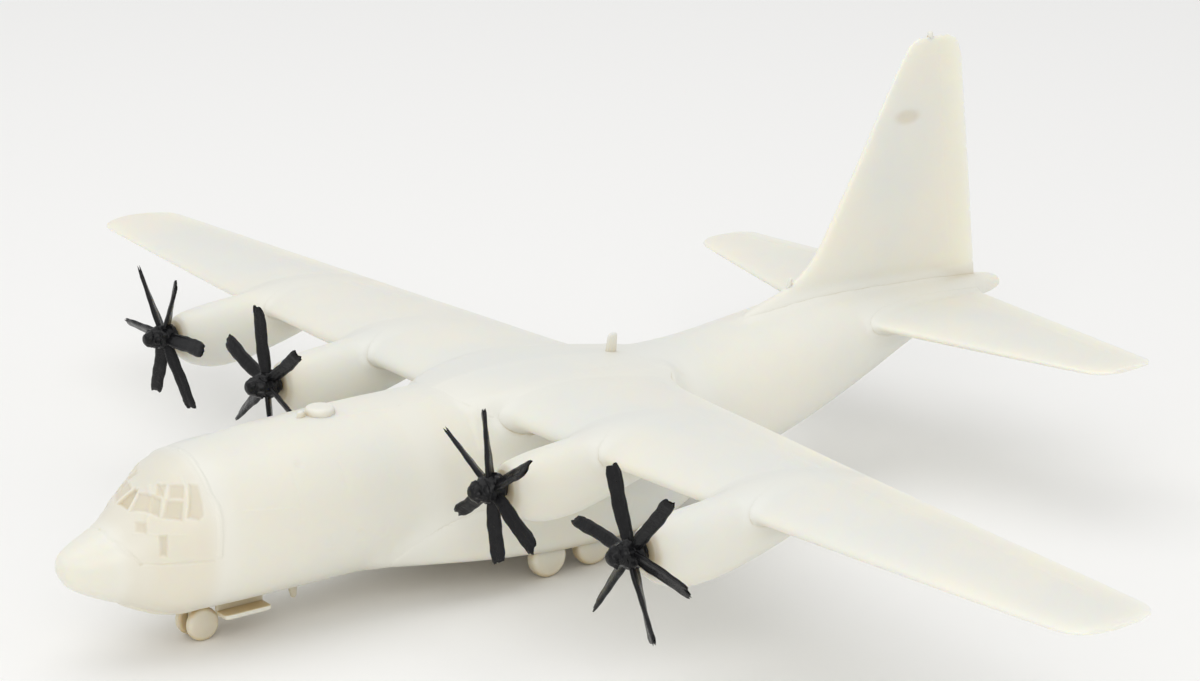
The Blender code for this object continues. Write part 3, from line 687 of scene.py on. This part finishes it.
def blackPrint():
    # Near-black glossy plastic with a grain that breaks its highlights into specks.
    made, tree, shader = newMaterial("black_print")
    place = nodeOf(tree, "ShaderNodeTexCoord")
    grain = nodeOf(tree, "ShaderNodeTexNoise", Scale=black["grain"], Detail=4.0)
    ramp = nodeOf(tree, "ShaderNodeValToRGB")
    ramp.color_ramp.elements[0].color, ramp.color_ramp.elements[1].color = black["low"], black["high"]
    bump = nodeOf(tree, "ShaderNodeBump", Strength=black["bumpShare"], Distance=black["bump"])
    wire(tree, (place, "Object", grain, "Vector"), (grain, "Fac", ramp, "Fac"),
         (ramp, "Color", shader, "Base Color"), (grain, "Fac", bump, "Height"),
         (bump, "Normal", shader, "Normal"))
    shader.inputs["Roughness"].default_value = black["roughness"]
    shader.inputs["Specular IOR Level"].default_value = black["gloss"]
    return made


ivoryMaterial = ivoryPrint()
blackMaterial = blackPrint()


def addValues(obj, name, values):
    # A number at each point, which the material reads by its name.
    attribute = obj.data.attributes.new(name, "FLOAT", "POINT")
    attribute.data.foreach_set("value", np.asarray(values, np.float32))


def finishPiece(obj, material, nodes, body="airframe", seam=None, toneAndPaintedShade=None):
    # The material, the body that it rides on and the nodes that it stands for.
    obj.data.materials.append(material)
    if seam is not None:
        addValues(obj, "seam", seam)
    # the tint that the material reads: a warm tone and painted shade
    if toneAndPaintedShade is not None:
        addValues(obj, "toneAndPaintedShade", toneAndPaintedShade)
    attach(obj, body)
    if nodes:
        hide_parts(*nodes)
    return obj


seamWidth = {"full": 1.0, "gone": 4.0}


def seamFade(points, ends, column=1):
    # 1 at the places where a piece meets the next one, falling to 0 over a few millimetres.
    away = np.min([np.abs(np.abs(points[:, column]) - end) for end in ends], axis=0)
    return 1 - smoothStep((away - seamWidth["full"]) / (seamWidth["gone"] - seamWidth["full"]))


def padded(values):
    # A grid of values as one row, with a zero for each of a tube's two end middles.
    return np.concatenate([values.ravel(), [0, 0]])


fuselage["joints"] = [first for node, first, *rest in fuselage["pieces"][1:]]
fuselage["endCrowding"] = 1.8  # rows crowd towards the nose and the tail by this power
fuselage["fillets"] = [  # neighbour, width, lowest and highest corner of the box where it acts
    (wingDistance, wingRootWidth, (-17, 66, 22), (17, 128, 40)),
    (finDistance, finRootWidth, (-8, 132, 28), (8, 208, 46)),
    (tailplaneDistance, 3.0, (-14, 158, 25), (14, 206, 37)),
    (sponsonDistance, 5.0, (-19, 52, 0), (19, 132, 22)),
]


def makeFuselage():
    # Each piece is the oval skin between two stations, with its details and fillets added along
    # the plain skin's normals.
    for name, first, last, rows, around in fuselage["pieces"]:
        t = np.linspace(0, 1, rows)
        if name == "radome":
            t = t ** fuselage["endCrowding"]
        if name == "tail_cone":
            t = 1 - (1 - t) ** fuselage["endCrowding"]
        station = (first + (last - first) * t)[:, None] + np.zeros(around)
        degrees = np.linspace(-180, 180, around, endpoint=False) + np.zeros((rows, 1))
        points = oval(station, degrees)
        inner = np.clip(station, level["nose"] + 0.05, level["tail"] - 0.05)
        normals = normalsOf(oval, inner, degrees, 0.04, 0.3)
        relief, toneAndPaintedShade = skinRelief(points, station, degrees)
        points += normals * relief[..., None]
        crossing = 0.0
        for distance, width, low, high in fuselage["fillets"]:
            points, crossing = nearOnly(points, normals, distance, width, (low, high), crossing)
        mesh, faces = tube(points)
        obj = meshFrom(name + "_skin", mesh, faces)
        seam = np.maximum(seamFade(mesh, fuselage["joints"]), padded(crossing))
        finishPiece(obj, ivoryMaterial, [name], seam=seam, toneAndPaintedShade=padded(toneAndPaintedShade))
    print("fuselage made")


makeFuselage()


wingLines = [  # points (out, station) on top of either wing, width, height
    ([(59.5, 100.6), (94.4, 100.6)], 0.6, 0.05),
    ([(53.3, 105.2), (69.5, 103.8)], 0.6, 0.06),
    ([(48.8, 99.1), (59.4, 98.8)], 0.5, 0.05),
    ([(87.7, 97.7), (100.3, 100.4)], 0.5, 0.04),
    ([(96.9, 86.3), (95.2, 92.0)], 0.5, 0.04),
    ([(40, 104.6), (134, 99.6)], 0.5, -0.04),
]


wing["joint"] = wing["rows"][0][0]
wing["tip"] = wing["rows"][-1][0]
wing["rootBox"] = ((-24, 60, 20), (24, 130, 42))
wing["nacelleBox"] = ((-84, 70, 20), (84, 116, 42))
wing["stretches"] = [(12, 30, 26), (30, 42, 28), (42, 66, 18), (66, 78, 28), (78, 136, 24)]  # from, to, rows
engine["filletWidth"] = 2.2


def makeWings():
    # The wing section carried out along the span, with fillets to the nacelles and the fuselage.
    turn = np.linspace(0, 2, 240, endpoint=False)
    whole = wing["fairing"][:-1] + wing["rows"]

    def halfWing(out, turnAt):
        return foil(whole, out, turnAt, wing["camber"], smooth=True)

    def blended(outs):
        # Both sides are worked out as the port one, and their places across are turned round after.
        away, side = np.abs(outs), np.where(outs < 0, -1, 1)[:, None]
        out, turns = away[:, None] + np.zeros(len(turn)), turn + np.zeros((len(outs), 1))
        points = halfWing(out, turns)
        inner = np.clip(out, 0.1, wing["tip"] - 0.1)
        normals = normalsOf(halfWing, inner, np.clip(turns, 0.002, 1.998), 0.05, 0.0015)
        rows = smoothRows(whole, out)
        normals = turnedOut(normals, 2, points[..., 2] - (rows[..., 3] + rows[..., 4]) / 2)
        points += normals * (reliefOn(points[..., :2], wingLines) * (turns < 1))[..., None]
        points[..., 0] *= side
        normals[..., 0] *= side
        points, crossing = nearOnly(points, normals, fuselageDistance, wingRootWidth, wing["rootBox"])
        return nearOnly(points, normals, nacelleDistance, engine["filletWidth"], wing["nacelleBox"], crossing)

    def make(name, outs):
        points, crossing = blended(outs)
        mesh, faces = tube(points)
        obj = meshFrom(name + "_skin", mesh, faces)
        seam = np.maximum(seamFade(mesh, [wing["joint"]], column=0), padded(crossing))
        finishPiece(obj, ivoryMaterial, [name], seam=seam)

    make("wing_fairing", np.linspace(-wing["joint"], wing["joint"], 49))
    stretches = wing["stretches"] + [(wing["stretches"][-1][1], wing["tip"], 24)]
    outs = [np.linspace(low, high, count)[:-1] for low, high, count in stretches]
    outs = np.concatenate(outs + [[wing["tip"]]])
    make("wing_port", outs)
    make("wing_starboard", -outs)
    print("wings made")


makeWings()


def nacelleSkin(station, degrees):
    return ovalOf(engine["rows"], station, degrees)


def makeNacelles():
    # An oval tube from a flat round face to a point behind the wing, with fillets to the wing.
    front, back = engine["rows"][0][0], engine["rows"][-1][0]
    stations = front + (back - front) * np.linspace(0, 1, 80) ** 1.35
    turns = np.linspace(0, 360, 96, endpoint=False)
    station = stations[:, None] + np.zeros(len(turns))
    degrees = turns + np.zeros((len(stations), 1))
    plain = nacelleSkin(station, degrees)
    normals = normalsOf(nacelleSkin, np.clip(station, front + 0.05, back - 0.05), degrees, 0.04, 0.5)
    for place, out in engine["outs"].items():
        for word, side in (("port", 1), ("starboard", -1)):
            shifted = plain + (side * out, 0, 0)
            points, crossing = filleted(shifted, normals, wingDistance, engine["filletWidth"])
            mesh, faces = tube(points)
            obj = meshFrom(f"nacelle_{word}_{place}_skin", mesh, faces, sharpDegrees=70)
            finishPiece(obj, ivoryMaterial, [f"nacelle_{word}_{place}"], seam=padded(crossing))
    print("nacelles made")


makeNacelles()


finLines = [  # points (station, height) on both sides, width, height
    ([(188.9, 79.0), (190.6, 64.8), (192.2, 49.1), (194.0, 36.1)], 0.7, -0.06),
    ([(181.4, 77.8), (192.6, 77.3)], 0.6, -0.05),
    ([(187.6, 73.2), (194.4, 72.0)], 0.6, -0.05),
    ([(192.0, 65.2), (195.6, 64.9)], 0.6, -0.05),
    ([(190.9, 58.9), (196.3, 58.7)], 0.6, -0.05),
    ([(180.7, 58.4), (186.3, 58.1)], 0.6, -0.04),
    ([(190.5, 45.9), (197.7, 46.0)], 0.6, -0.05),
    ([(188.5, 36.2), (198.8, 35.8)], 0.6, -0.05),
    ([(180.1, 66.8), (182.7, 66.6)], 1.6, -0.16),
]
finNotches = {"heights": [72.2, 66.9, 64.9, 58.7, 46.1, 35.9], "depth": 0.28, "half": 0.3, "reach": 0.12}
# painted shade in the fin's dent: its middle, stretch along, reach and the share of tan
finDentPaintedShade = {"station": 181.4, "height": 66.7, "stretch": 2.2, "reach": 1.8, "share": 0.3}
finBox = ((-9, 130, 25), (9, 210, 50))
tailplaneBox = ((0, 155, 22), (16, 208, 40))
tailplaneLines = [([(9.0, 191.0), (51.0, 187.2)], 0.6, -0.05), ([(24.0, 189.8), (24.0, 194.5)], 0.6, -0.04)]


def makeTail():
    # The fin is a wing section stacked upwards; each tailplane is one carried outwards.
    turn = np.linspace(0, 2, 190, endpoint=False)

    def spread(stretches):
        # A grid of places along the span, from (from, to, rows), and of turns round the section.
        parts = [np.linspace(low, high, count)[:-1] for low, high, count in stretches] + [[stretches[-1][1]]]
        places = np.concatenate(parts)[:, None]
        return places + np.zeros(len(turn)), turn + np.zeros((len(places), 1))

    height, turns = spread([(31, 48, 44), (48, 78, 80), (78, 80.9, 24)])
    points = finRow(height, turns)
    normals = normalsOf(finRow, np.clip(height, 31.1, 80.8), np.clip(turns, 0.003, 1.997), 0.05, 0.002)
    normals = turnedOut(normals, 0, points[..., 0])
    relief = reliefOn(points[..., 1:], finLines)
    aft, up = points[..., 1] - finDentPaintedShade["station"], points[..., 2] - finDentPaintedShade["height"]
    fromDent = np.hypot(aft / finDentPaintedShade["stretch"], up)
    # painted shade: the dent on the fin is tinted tan
    toneAndPaintedShade = smoothStep(finDentPaintedShade["reach"] - fromDent) * finDentPaintedShade["share"]
    points += normals * relief[..., None]
    nearEdge = smoothStep(1 - np.minimum(turns, 2 - turns) / finNotches["reach"])
    notched = sum(np.exp(-(((height - notch) / finNotches["half"]) ** 2)) for notch in finNotches["heights"])
    points[..., 1] -= nearEdge * finNotches["depth"] * notched
    points, crossing = nearOnly(points, normals, fuselageDistance, finRootWidth, finBox)
    mesh, faces = tube(points)
    obj = meshFrom("fin_skin", mesh, faces, sharpDegrees=60)
    finishPiece(obj, ivoryMaterial, ["fin"], seam=padded(crossing), toneAndPaintedShade=padded(toneAndPaintedShade))

    def surface(out, turnAt):
        return foil(wing["tailplane"], out, turnAt, 0.0, smooth=True)

    out, turns = spread([(1.5, 14, 34), (14, 52, 40), (52, 57.4, 22)])
    plain = surface(out, turns)
    normals = normalsOf(surface, np.clip(out, 1.6, 57.3), np.clip(turns, 0.003, 1.997), 0.05, 0.002)
    rows = smoothRows(wing["tailplane"], out)
    normals = turnedOut(normals, 2, plain[..., 2] - (rows[..., 3] + rows[..., 4]) / 2)
    plain += normals * reliefOn(plain[..., :2], tailplaneLines)[..., None]
    plain, crossing = nearOnly(plain, normals, fuselageDistance, 3.0, tailplaneBox)
    for word, side in (("port", 1), ("starboard", -1)):
        mesh, faces = tube(plain * (side, 1, 1))
        obj = meshFrom("tailplane_" + word + "_skin", mesh, faces, sharpDegrees=60)
        finishPiece(obj, ivoryMaterial, ["tailplane_" + word], seam=padded(crossing))
    print("tail made")


makeTail()


# wheels, wells and legs

gear = {
    "mainRadius": 3.6, "mainWidth": 2.6, "mainOut": 13.9, "mainStations": {"front": 89.3, "rear": 98.8},
    "noseRadius": 2.9, "noseWidth": 1.6, "noseOut": 1.8, "noseStation": 28.3,
    "runGap": 0.35, "legThickness": 1.2, "glueGap": 0.08,
    "axleBore": 0.68, "axleReach": 0.6, "axlePlay": 0.08,
}


def turnedAcross(profile, centre, steps=96):
    # A profile of (along, radius) turned about an axis that runs to port through the centre.
    profile = np.array(profile, float)
    angle = np.linspace(0, 2 * math.pi, steps, endpoint=False)
    along, radius = profile[:, 0][:, None], profile[:, 1][:, None]
    ring = np.stack([along + 0 * angle, radius * np.sin(angle), radius * np.cos(angle)], -1)
    return ring + centre


def roundedProfile(corners, radius=0.25, steps=5):
    # A run of corners with each inner one rounded by a small curve through three points.
    corners = np.array(corners, float)
    points = [corners[0]]
    for before, here, after in zip(corners, corners[1:], corners[2:]):
        a, b = before - here, after - here
        la, lb = np.linalg.norm(a), np.linalg.norm(b)
        cut = min(radius, la / 2, lb / 2)
        start, end = here + a / la * cut, here + b / lb * cut
        t = np.linspace(0, 1, steps)[:, None]
        points += list((1 - t) ** 2 * start + 2 * t * (1 - t) * here + t**2 * end)
    points.append(corners[-1])
    return points


def cut(obj, cutters):
    # Takes the cutters out of the object and keeps the result as its mesh.
    for other in cutters:
        modifier = obj.modifiers.new("cut_" + other.name, "BOOLEAN")
        modifier.operation = "DIFFERENCE"
        modifier.object = other
        modifier.solver = "EXACT"
    bpy.context.view_layer.update()
    graph = bpy.context.evaluated_depsgraph_get()
    mesh = bpy.data.meshes.new_from_object(obj.evaluated_get(graph), depsgraph=graph)
    obj.modifiers.clear()
    old, obj.data = obj.data, mesh
    bpy.data.meshes.remove(old)
    for other in cutters:
        bpy.data.objects.remove(other, do_unlink=True)


def makeSponsons():
    # A rounded box carried aft with soft ends, and the wheel wells cut from it.
    t = np.linspace(0, 1, 100)
    stations = 58 + 67 * (t - 0.12 * np.sin(2 * math.pi * t) / math.pi)
    turns = np.linspace(0, 2 * math.pi, 120, endpoint=False)
    station, turn = stations[:, None] + np.zeros(len(turns)), turns + np.zeros((len(stations), 1))
    half = gear["mainWidth"] / 2 + gear["runGap"]
    for word, side in (("port", 1), ("starboard", -1)):
        def surface(stationAt, turnAt):
            return sponsonPoint(stationAt, turnAt, side)
        plain = surface(station, turn)
        normals = normalsOf(surface, np.clip(station, 58.1, 124.9), turn, 0.05, 0.01)
        normals = turnedOut(normals, 0, plain[..., 0] - smoothRows(sponson["rows"], station)[..., 1] * side)
        points, crossing = filleted(plain, normals, fuselageDistance, 5.0)
        obj = meshFrom("sponson_" + word + "_skin", *tube(points))
        addValues(obj, "seam", padded(crossing))
        cutters = []
        for place, at in gear["mainStations"].items():
            centre = (side * gear["mainOut"], at, ground(at) + gear["mainRadius"])
            inner = half + gear["legThickness"] + gear["glueGap"]
            radius = gear["mainRadius"] + gear["runGap"]
            ends = (-inner, half) if side > 0 else (-half, inner)
            well = meshFrom("well_" + place, *tube(turnedAcross([(along, radius) for along in ends], centre)))
            well.hide_render = True
            cutters.append(well)
        cut(obj, cutters)
        finishPiece(obj, ivoryMaterial, ["sponson_" + word])
    print("sponsons made")


makeSponsons()


def makeWheels():
    # Each wheel is a rounded profile turned about its axle; the main ones have a blind bore.
    r, half = gear["mainRadius"], gear["mainWidth"] / 2
    depth = gear["axleReach"] + gear["axlePlay"]
    for place, at in gear["mainStations"].items():
        for word, side in (("port", 1), ("starboard", -1)):
            profile = roundedProfile([
                (depth * side, 0.02), (depth * side, gear["axleBore"]), (-half * side, gear["axleBore"]),
                (-half * side, r - 0.7), (-(half - 0.4) * side, r - 0.12), (0, r),
                ((half - 0.4) * side, r - 0.12), (half * side, r - 0.7), (half * side, 0.02)], 0.35)
            centre = (side * gear["mainOut"], at, ground(at) + r)
            name = f"main_wheel_{place}_{word}"
            obj = meshFrom(name + "_print", *tube(turnedAcross(profile, centre)))
            finishPiece(obj, ivoryMaterial, [name], body=name)
    r, w, out = gear["noseRadius"], gear["noseWidth"] / 2, gear["noseOut"]
    sidePart = [(out - w, 0.5), (out - w, r - 0.5), (out - w + 0.3, r - 0.08), (out, r),
                (out + w - 0.3, r - 0.08), (out + w, r - 0.5), (out + w, 0.02)]
    profile = [(-along, radius) for along, radius in sidePart[::-1]] + sidePart
    at = gear["noseStation"]
    turned = turnedAcross(roundedProfile(profile, 0.3), (0, at, ground(at) + r))
    obj = meshFrom("nose_wheels_print", *tube(turned))
    finishPiece(obj, ivoryMaterial, ["nose_wheels"], body="nose_wheels")
    print("wheels made")


makeWheels()


# propellers

propeller = {
    "root": 1.2, "thickness": 0.9, "ridges": 9, "ridgeHeight": 0.06, "lump": 0.32,
    "hub": [(-4.3, 0.02), (-4.3, 0.6), (-4.0, 1.1), (-2.9, 1.65), (-1.6, 2.05), (-0.4, 2.3), (1.1, 2.3),
            (2.1, 1.9), (2.1, 0.88), (-1.2, 0.88), (-1.2, 0.02)],
    "each": [  # name, out, hand, blades: degrees, length, root and tip chord, root and tip twist
        ("port_outer", 71.9, 1, [
            (-20.2, 14.1, 2.2, 2.8, 34, 20), (42.0, 15.2, 2.2, 2.3, 47, 26), (98.0, 14.8, 3.2, 3.0, 23, 25),
            (156.2, 14.6, 3.2, 3.0, 60, 17),
            (-142.0, 15.0, 3.0, 2.2, 30, 45), (-84.0, 14.7, 2.1, 2.2, 44, 21)]),
        ("port_inner", 34.9, -1, [
            (-8.6, 13.4, 3.1, 2.4, 58, 23), (58.0, 12.6, 2.7, 2.8, 46, 39), (121.0, 14.0, 2.3, 2.8, 35, 17),
            (172.0, 12.8, 2.4, 2.8, 31, 20),
            (-125.2, 12.3, 2.6, 2.4, 52, 33), (-63.0, 14.8, 2.8, 1.5, 57, 38)]),
        ("starboard_inner", -34.9, 1, [
            (-9.1, 14.1, 2.4, 2.6, 35, 14), (53.6, 13.9, 2.2, 2.4, 54, 27), (113.0, 13.5, 3.0, 3.0, 42, 27),
            (173.4, 13.5, 3.0, 3.0, 42, 27),
            (-129.0, 14.1, 3.3, 2.2, 18, 42), (-70.0, 14.9, 2.4, 2.8, 36, 19)]),
        ("starboard_outer", -71.9, -1, [
            (-38.0, 14.3, 3.1, 2.2, 55, 21), (25.5, 12.9, 3.0, 2.6, 56, 23), (87.0, 15.0, 2.8, 2.9, 44, 27),
            (140.8, 15.1, 2.4, 2.6, 28, 14),
            (-161.0, 12.6, 2.6, 2.7, 38, 17), (-91.5, 14.8, 3.0, 2.2, 28, 44)]),
    ],
    "strand": ("port_outer", (36.0, 11.5, 0.7, 0.4, 40, 30)),  # a thread of plastic beside one blade
}


def bladeGrid(hand, blade, draw, rows=34):
    # A slab of plastic strands: rounded across, with fine ridges along it, a slow twist, wavering
    # edges, and a tip that is cut aslant where each strand ends at its own length.
    degrees, length, rootChord, tipChord, rootTwist, tipTwist = blade
    strands = propeller["ridges"]
    turn = np.linspace(0, 2 * math.pi, 8 * strands, endpoint=False)
    across = signedPower(np.cos(turn), 0.55) / 2
    through = signedPower(np.sin(turn), 0.8) / 2
    ridge = np.abs(np.sin(across * math.pi * strands)) ** 0.7
    ends = draw.uniform(-0.9, 0.0, strands + 1)
    ends[[0, -1]] -= draw.uniform(0.2, 0.9, 2)
    end = np.interp(across + 0.5, np.linspace(0, 1, strands + 1), ends) + across * draw.uniform(-1.3, 1.3)
    share = np.linspace(0, 1, rows)[:, None]
    reach = length - propeller["root"] + end * smoothStep((share - 0.75) / 0.25)
    radius = propeller["root"] + reach * share
    chord = (rootChord + (tipChord - rootChord) * share) * (1 - 0.22 * smoothStep(1 - share * 4))
    chord = chord * (1 - 0.10 * smoothStep((share - 0.93) / 0.07))
    waver = draw.uniform(0, 6, 4)
    chord = chord * (1 + 0.035 * np.sin(17 * share + waver[0]) + 0.025 * np.sin(31 * share + waver[1]))
    thick = propeller["thickness"] * min(1, rootChord / 2) * (1 - 0.35 * share)
    thick = thick * (1 + 0.06 * np.sin(23 * share + waver[2])) * (1 - 0.5 * smoothStep((share - 0.94) / 0.06))
    u = across * chord + 0.07 * np.sin(9 * share + waver[3])
    v = through * thick + np.sign(np.sin(turn)) * ridge * propeller["ridgeHeight"]
    angle = np.radians(rootTwist + (tipTwist - rootTwist) * share) * hand
    x = u * np.cos(angle) - v * np.sin(angle)
    y = u * np.sin(angle) + v * np.cos(angle)
    return aboutShaft(np.stack([x, y, radius + 0 * u], -1), degrees)


def aboutShaft(points, degrees):
    # Turned about the shaft, from the top towards port.
    c, s = math.cos(math.radians(degrees)), math.sin(math.radians(degrees))
    return np.asarray(points) @ np.array([[c, 0, -s], [0, 1, 0], [s, 0, c]])


def lumps(rows, columns, cells, draw):
    # A sheet of random heights, -1 to 1, that closes round on itself: cosines between a few cells.
    heights = draw.uniform(-1, 1, cells)
    i, j = np.linspace(0, cells[0] - 1.001, rows)[:, None], np.arange(columns) / columns * cells[1]
    a, b = np.floor(i).astype(int), np.floor(j).astype(int)
    p, q = smoothStep(i - a), smoothStep(j - b)
    c = (b + 1) % cells[1]
    low = heights[a, b] * (1 - q) + heights[a, c] * q
    high = heights[a + 1, b] * (1 - q) + heights[a + 1, c] * q
    return low * (1 - p) + high * p


def makeHub(draw, steps=60):
    # The spinner and hub turned about the shaft, with rough lumps on the outside alone.
    angle = np.linspace(0, 2 * math.pi, steps, endpoint=False)
    profile = np.array(roundedProfile(propeller["hub"], 0.3))
    fine = np.concatenate([np.linspace(a, b, 3)[:-1] for a, b in zip(profile, profile[1:])] + [profile[-1:]])
    outer = smoothStep((fine[:, 1] - 0.9) / 0.7)[:, None]
    rough = lumps(len(fine), steps, (16, 11), draw) + 0.5 * lumps(len(fine), steps, (34, 23), draw)
    radius = fine[:, 1][:, None] + propeller["lump"] * outer * rough
    return np.stack([radius * np.sin(angle), fine[:, 0][:, None] + 0 * angle, radius * np.cos(angle)], -1)


def makePropellers():
    draw = np.random.default_rng(11)
    for name, out, hand, blades in propeller["each"]:
        centre = np.array([out, engine["hubStation"], engine["hubHeight"]])
        shells = [tube(makeHub(draw) + centre)]
        shells += [tube(bladeGrid(hand, blade, draw) + centre) for blade in blades]
        if name == propeller["strand"][0]:
            shells.append(tube(bladeGrid(hand, propeller["strand"][1], draw) + centre + (0, 1.1, 0)))
        node = "propeller_" + name
        obj = meshFrom(node + "_print", *joined(shells))
        finishPiece(obj, blackMaterial, [node], body=node)
    print("propellers made")


makePropellers()


# small pieces on the skin and the nose gear's doors

small = {
    # name: foot (out, station, height), tip, half sizes (across, along) at the foot and the tip, bluntness
    "roof_dome": ((0, 53.0, 32.6), (0, 53.0, 34.75), (2.6, 2.6), (2.5, 2.5), 6.0),
    "roof_stub": ((0, 49.3, 32.6), (0, 49.3, 34.5), (0.5, 0.9), (0.4, 0.6), 3.0),
    "dorsal_antenna": ((0, 113.3, 32.0), (0, 113.9, 36.6), (0.45, 1.25), (0.4, 1.0), 3.0),
    "belly_antenna": ((0, 46.5, 6.4), (0, 46.9, 2.05), (0.5, 1.3), (0.35, 0.5), 2.2),
    "fin_beacon": ((0, 187.5, 80.2), (0, 187.6, 81.98), (0.55, 0.6), (0.5, 0.55), 2.2),
    "blade_antenna": ((0, 153.6, 34.0), (0, 154.7, 39.8), (0.4, 1.1), (0.25, 0.35), 2.0),
}
seamOf = {"post": 0.75, "door": 0.6}  # how far light is kept from scattering in thin pieces
door = {"out": (2.6, 6.3), "wallOut": (2.6, 3.3), "stations": (30.3, 39.1),
        "plate": (3.65, 4.5), "wall": (3.65, 6.1)}


def post(foot, tip, footHalves, tipHalves, bluntness, rows=40, around=48):
    # An oval post: its half sizes run from foot to tip, and close over the last part by one less a
    # power of the way to the tip, under the same root.
    share = 1 - (1 - np.linspace(0, 1, rows)[:, None]) ** 2
    angle = np.linspace(0, 2 * math.pi, around, endpoint=False)
    foot, tip = np.array(foot, float), np.array(tip, float)
    reach = min(1.0, max(tipHalves) / abs(tip[2] - foot[2]))
    cap = (1 - np.clip((share - 1 + reach) / reach, 0, 1) ** bluntness) ** (1 / bluntness)
    cap = np.maximum(cap, 0.02)
    ring = np.stack([np.cos(angle), np.sin(angle), 0 * angle], -1)
    halves = [np.array([*pair, 0.0]) for pair in (footHalves, tipHalves)]
    size = (halves[0] + (halves[1] - halves[0]) * share) * cap
    return tube(foot + (tip - foot) * share[..., None] + ring * size[:, None])


def softBox(low, high, power=0.25, rows=30, around=60):
    # A box with rounded edges: cosines and sines raised to a small power.
    low, high = np.array(low, float), np.array(high, float)
    v = np.linspace(-math.pi / 2, math.pi / 2, rows)[:, None]
    u = np.linspace(0, 2 * math.pi, around, endpoint=False)
    out = signedPower(np.maximum(np.cos(v), 0.001), power)
    unit = np.stack([out * signedPower(np.cos(u), power), signedPower(np.sin(v), power) + 0 * u,
                     out * signedPower(np.sin(u), power)], -1)
    return tube((low + high) / 2 + unit * (high - low) / 2)


def makeSmallPieces():
    for name, shape in small.items():
        points, faces = post(*shape)
        obj = meshFrom(name + "_print", points, faces)
        nodes = [name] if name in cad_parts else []
        finishPiece(obj, ivoryMaterial, nodes, seam=np.full(len(points), seamOf["post"]))
    for word, side in (("port", 1), ("starboard", -1)):
        shells = []
        for outs, heights in ((door["out"], door["plate"]), (door["wallOut"], door["wall"])):
            across = sorted(side * out for out in outs)
            low, high = ((across[i], door["stations"][i], heights[i]) for i in (0, 1))
            shells.append(softBox(low, high))
        points, faces = joined(shells)
        obj = meshFrom(f"nose_gear_door_{word}_print", points, faces)
        finishPiece(obj, ivoryMaterial, ["nose_gear_door_" + word], seam=np.full(len(points), seamOf["door"]))
    print("small pieces made")


makeSmallPieces()

# the finish of the nodes that still show, the gear legs and propeller pins

for name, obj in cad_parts.items():
    material = blackMaterial if name.startswith("prop") else ivoryMaterial
    obj.data.materials.clear()
    obj.data.materials.append(material)


# the camera, at the photograph's place and angle

view = {
    "place": (439.661, -214.425, 199.215),
    "ahead": (-0.770004, 0.570081, -0.286534),
    "right": (0.595349, 0.803466, -0.001327),
    "lens": 97.05,
    "sensor": 36,
    "nearest": 0.01,
}


def aimed(right, up, back, place):
    # The matrix of an object whose own axes lie along right, up and back.
    matrix = np.eye(4)
    matrix[:3] = np.stack([right, up, back, place], -1)
    return Matrix(matrix.tolist())


def makeCamera():
    # The view's axes and place, pitched with the model.
    ahead, right = pitched(np.array(view["ahead"])), pitched(np.array(view["right"]))
    up = np.cross(right, ahead)
    data = bpy.data.cameras.new("view")
    data.lens = view["lens"]
    data.sensor_width = view["sensor"]
    data.clip_start = view["nearest"]
    camera = bpy.data.objects.new("view", data)
    bpy.context.scene.collection.objects.link(camera)
    camera.matrix_world = aimed(right, up, -ahead, placed(view["place"]))
    bpy.context.scene.camera = camera


makeCamera()

studio = {
    "floorHalf": 4.0,
    "floorRoughness": 0.9,
    "floor": (0.93, 0.925, 0.91, 1),
    "world": (0.985, 0.99, 1.0, 1),
    "worldStrength": 0.72,
    "lights": [  # place, size, watts, colour
        ((-0.15, -0.1, 0.95), 1.1, 2.6, (1.0, 0.99, 0.97)),
        ((0.75, -0.55, 0.55), 0.7, 2.4, (1.0, 0.985, 0.96)),
    ],
}


def makeStudio():
    # A pale floor, an even pale surround and two large soft lamps.
    size = studio["floorHalf"]
    mesh = bpy.data.meshes.new("floor")
    corners = [(-size, -size, 0), (size, -size, 0), (size, size, 0), (-size, size, 0)]
    mesh.from_pydata(corners, [], [(0, 1, 2, 3)])
    floor = bpy.data.objects.new("floor", mesh)
    bpy.context.scene.collection.objects.link(floor)
    made, tree, shader = newMaterial("floor")
    shader.inputs["Base Color"].default_value = studio["floor"]
    shader.inputs["Roughness"].default_value = studio["floorRoughness"]
    mesh.materials.append(made)
    world = bpy.data.worlds.new("studio")
    bpy.context.scene.world = world
    world.use_nodes = True
    background = world.node_tree.nodes["Background"]
    background.inputs["Color"].default_value = studio["world"]
    background.inputs["Strength"].default_value = studio["worldStrength"]
    for index, (place, lampSize, watts, colour) in enumerate(studio["lights"]):
        data = bpy.data.lights.new(f"lamp_{index}", "AREA")
        data.shape, data.size, data.energy, data.color = "DISK", lampSize, watts, colour
        lamp = bpy.data.objects.new(f"lamp_{index}", data)
        bpy.context.scene.collection.objects.link(lamp)
        lamp.location = place
        towards = -np.array(place) / np.linalg.norm(place)
        sideways = np.cross(towards, (0, 0, 1))
        sideways /= np.linalg.norm(sideways)
        lamp.matrix_world = aimed(sideways, np.cross(sideways, towards), -towards, place)
    bpy.context.scene.view_settings.view_transform = "Standard"


makeStudio()
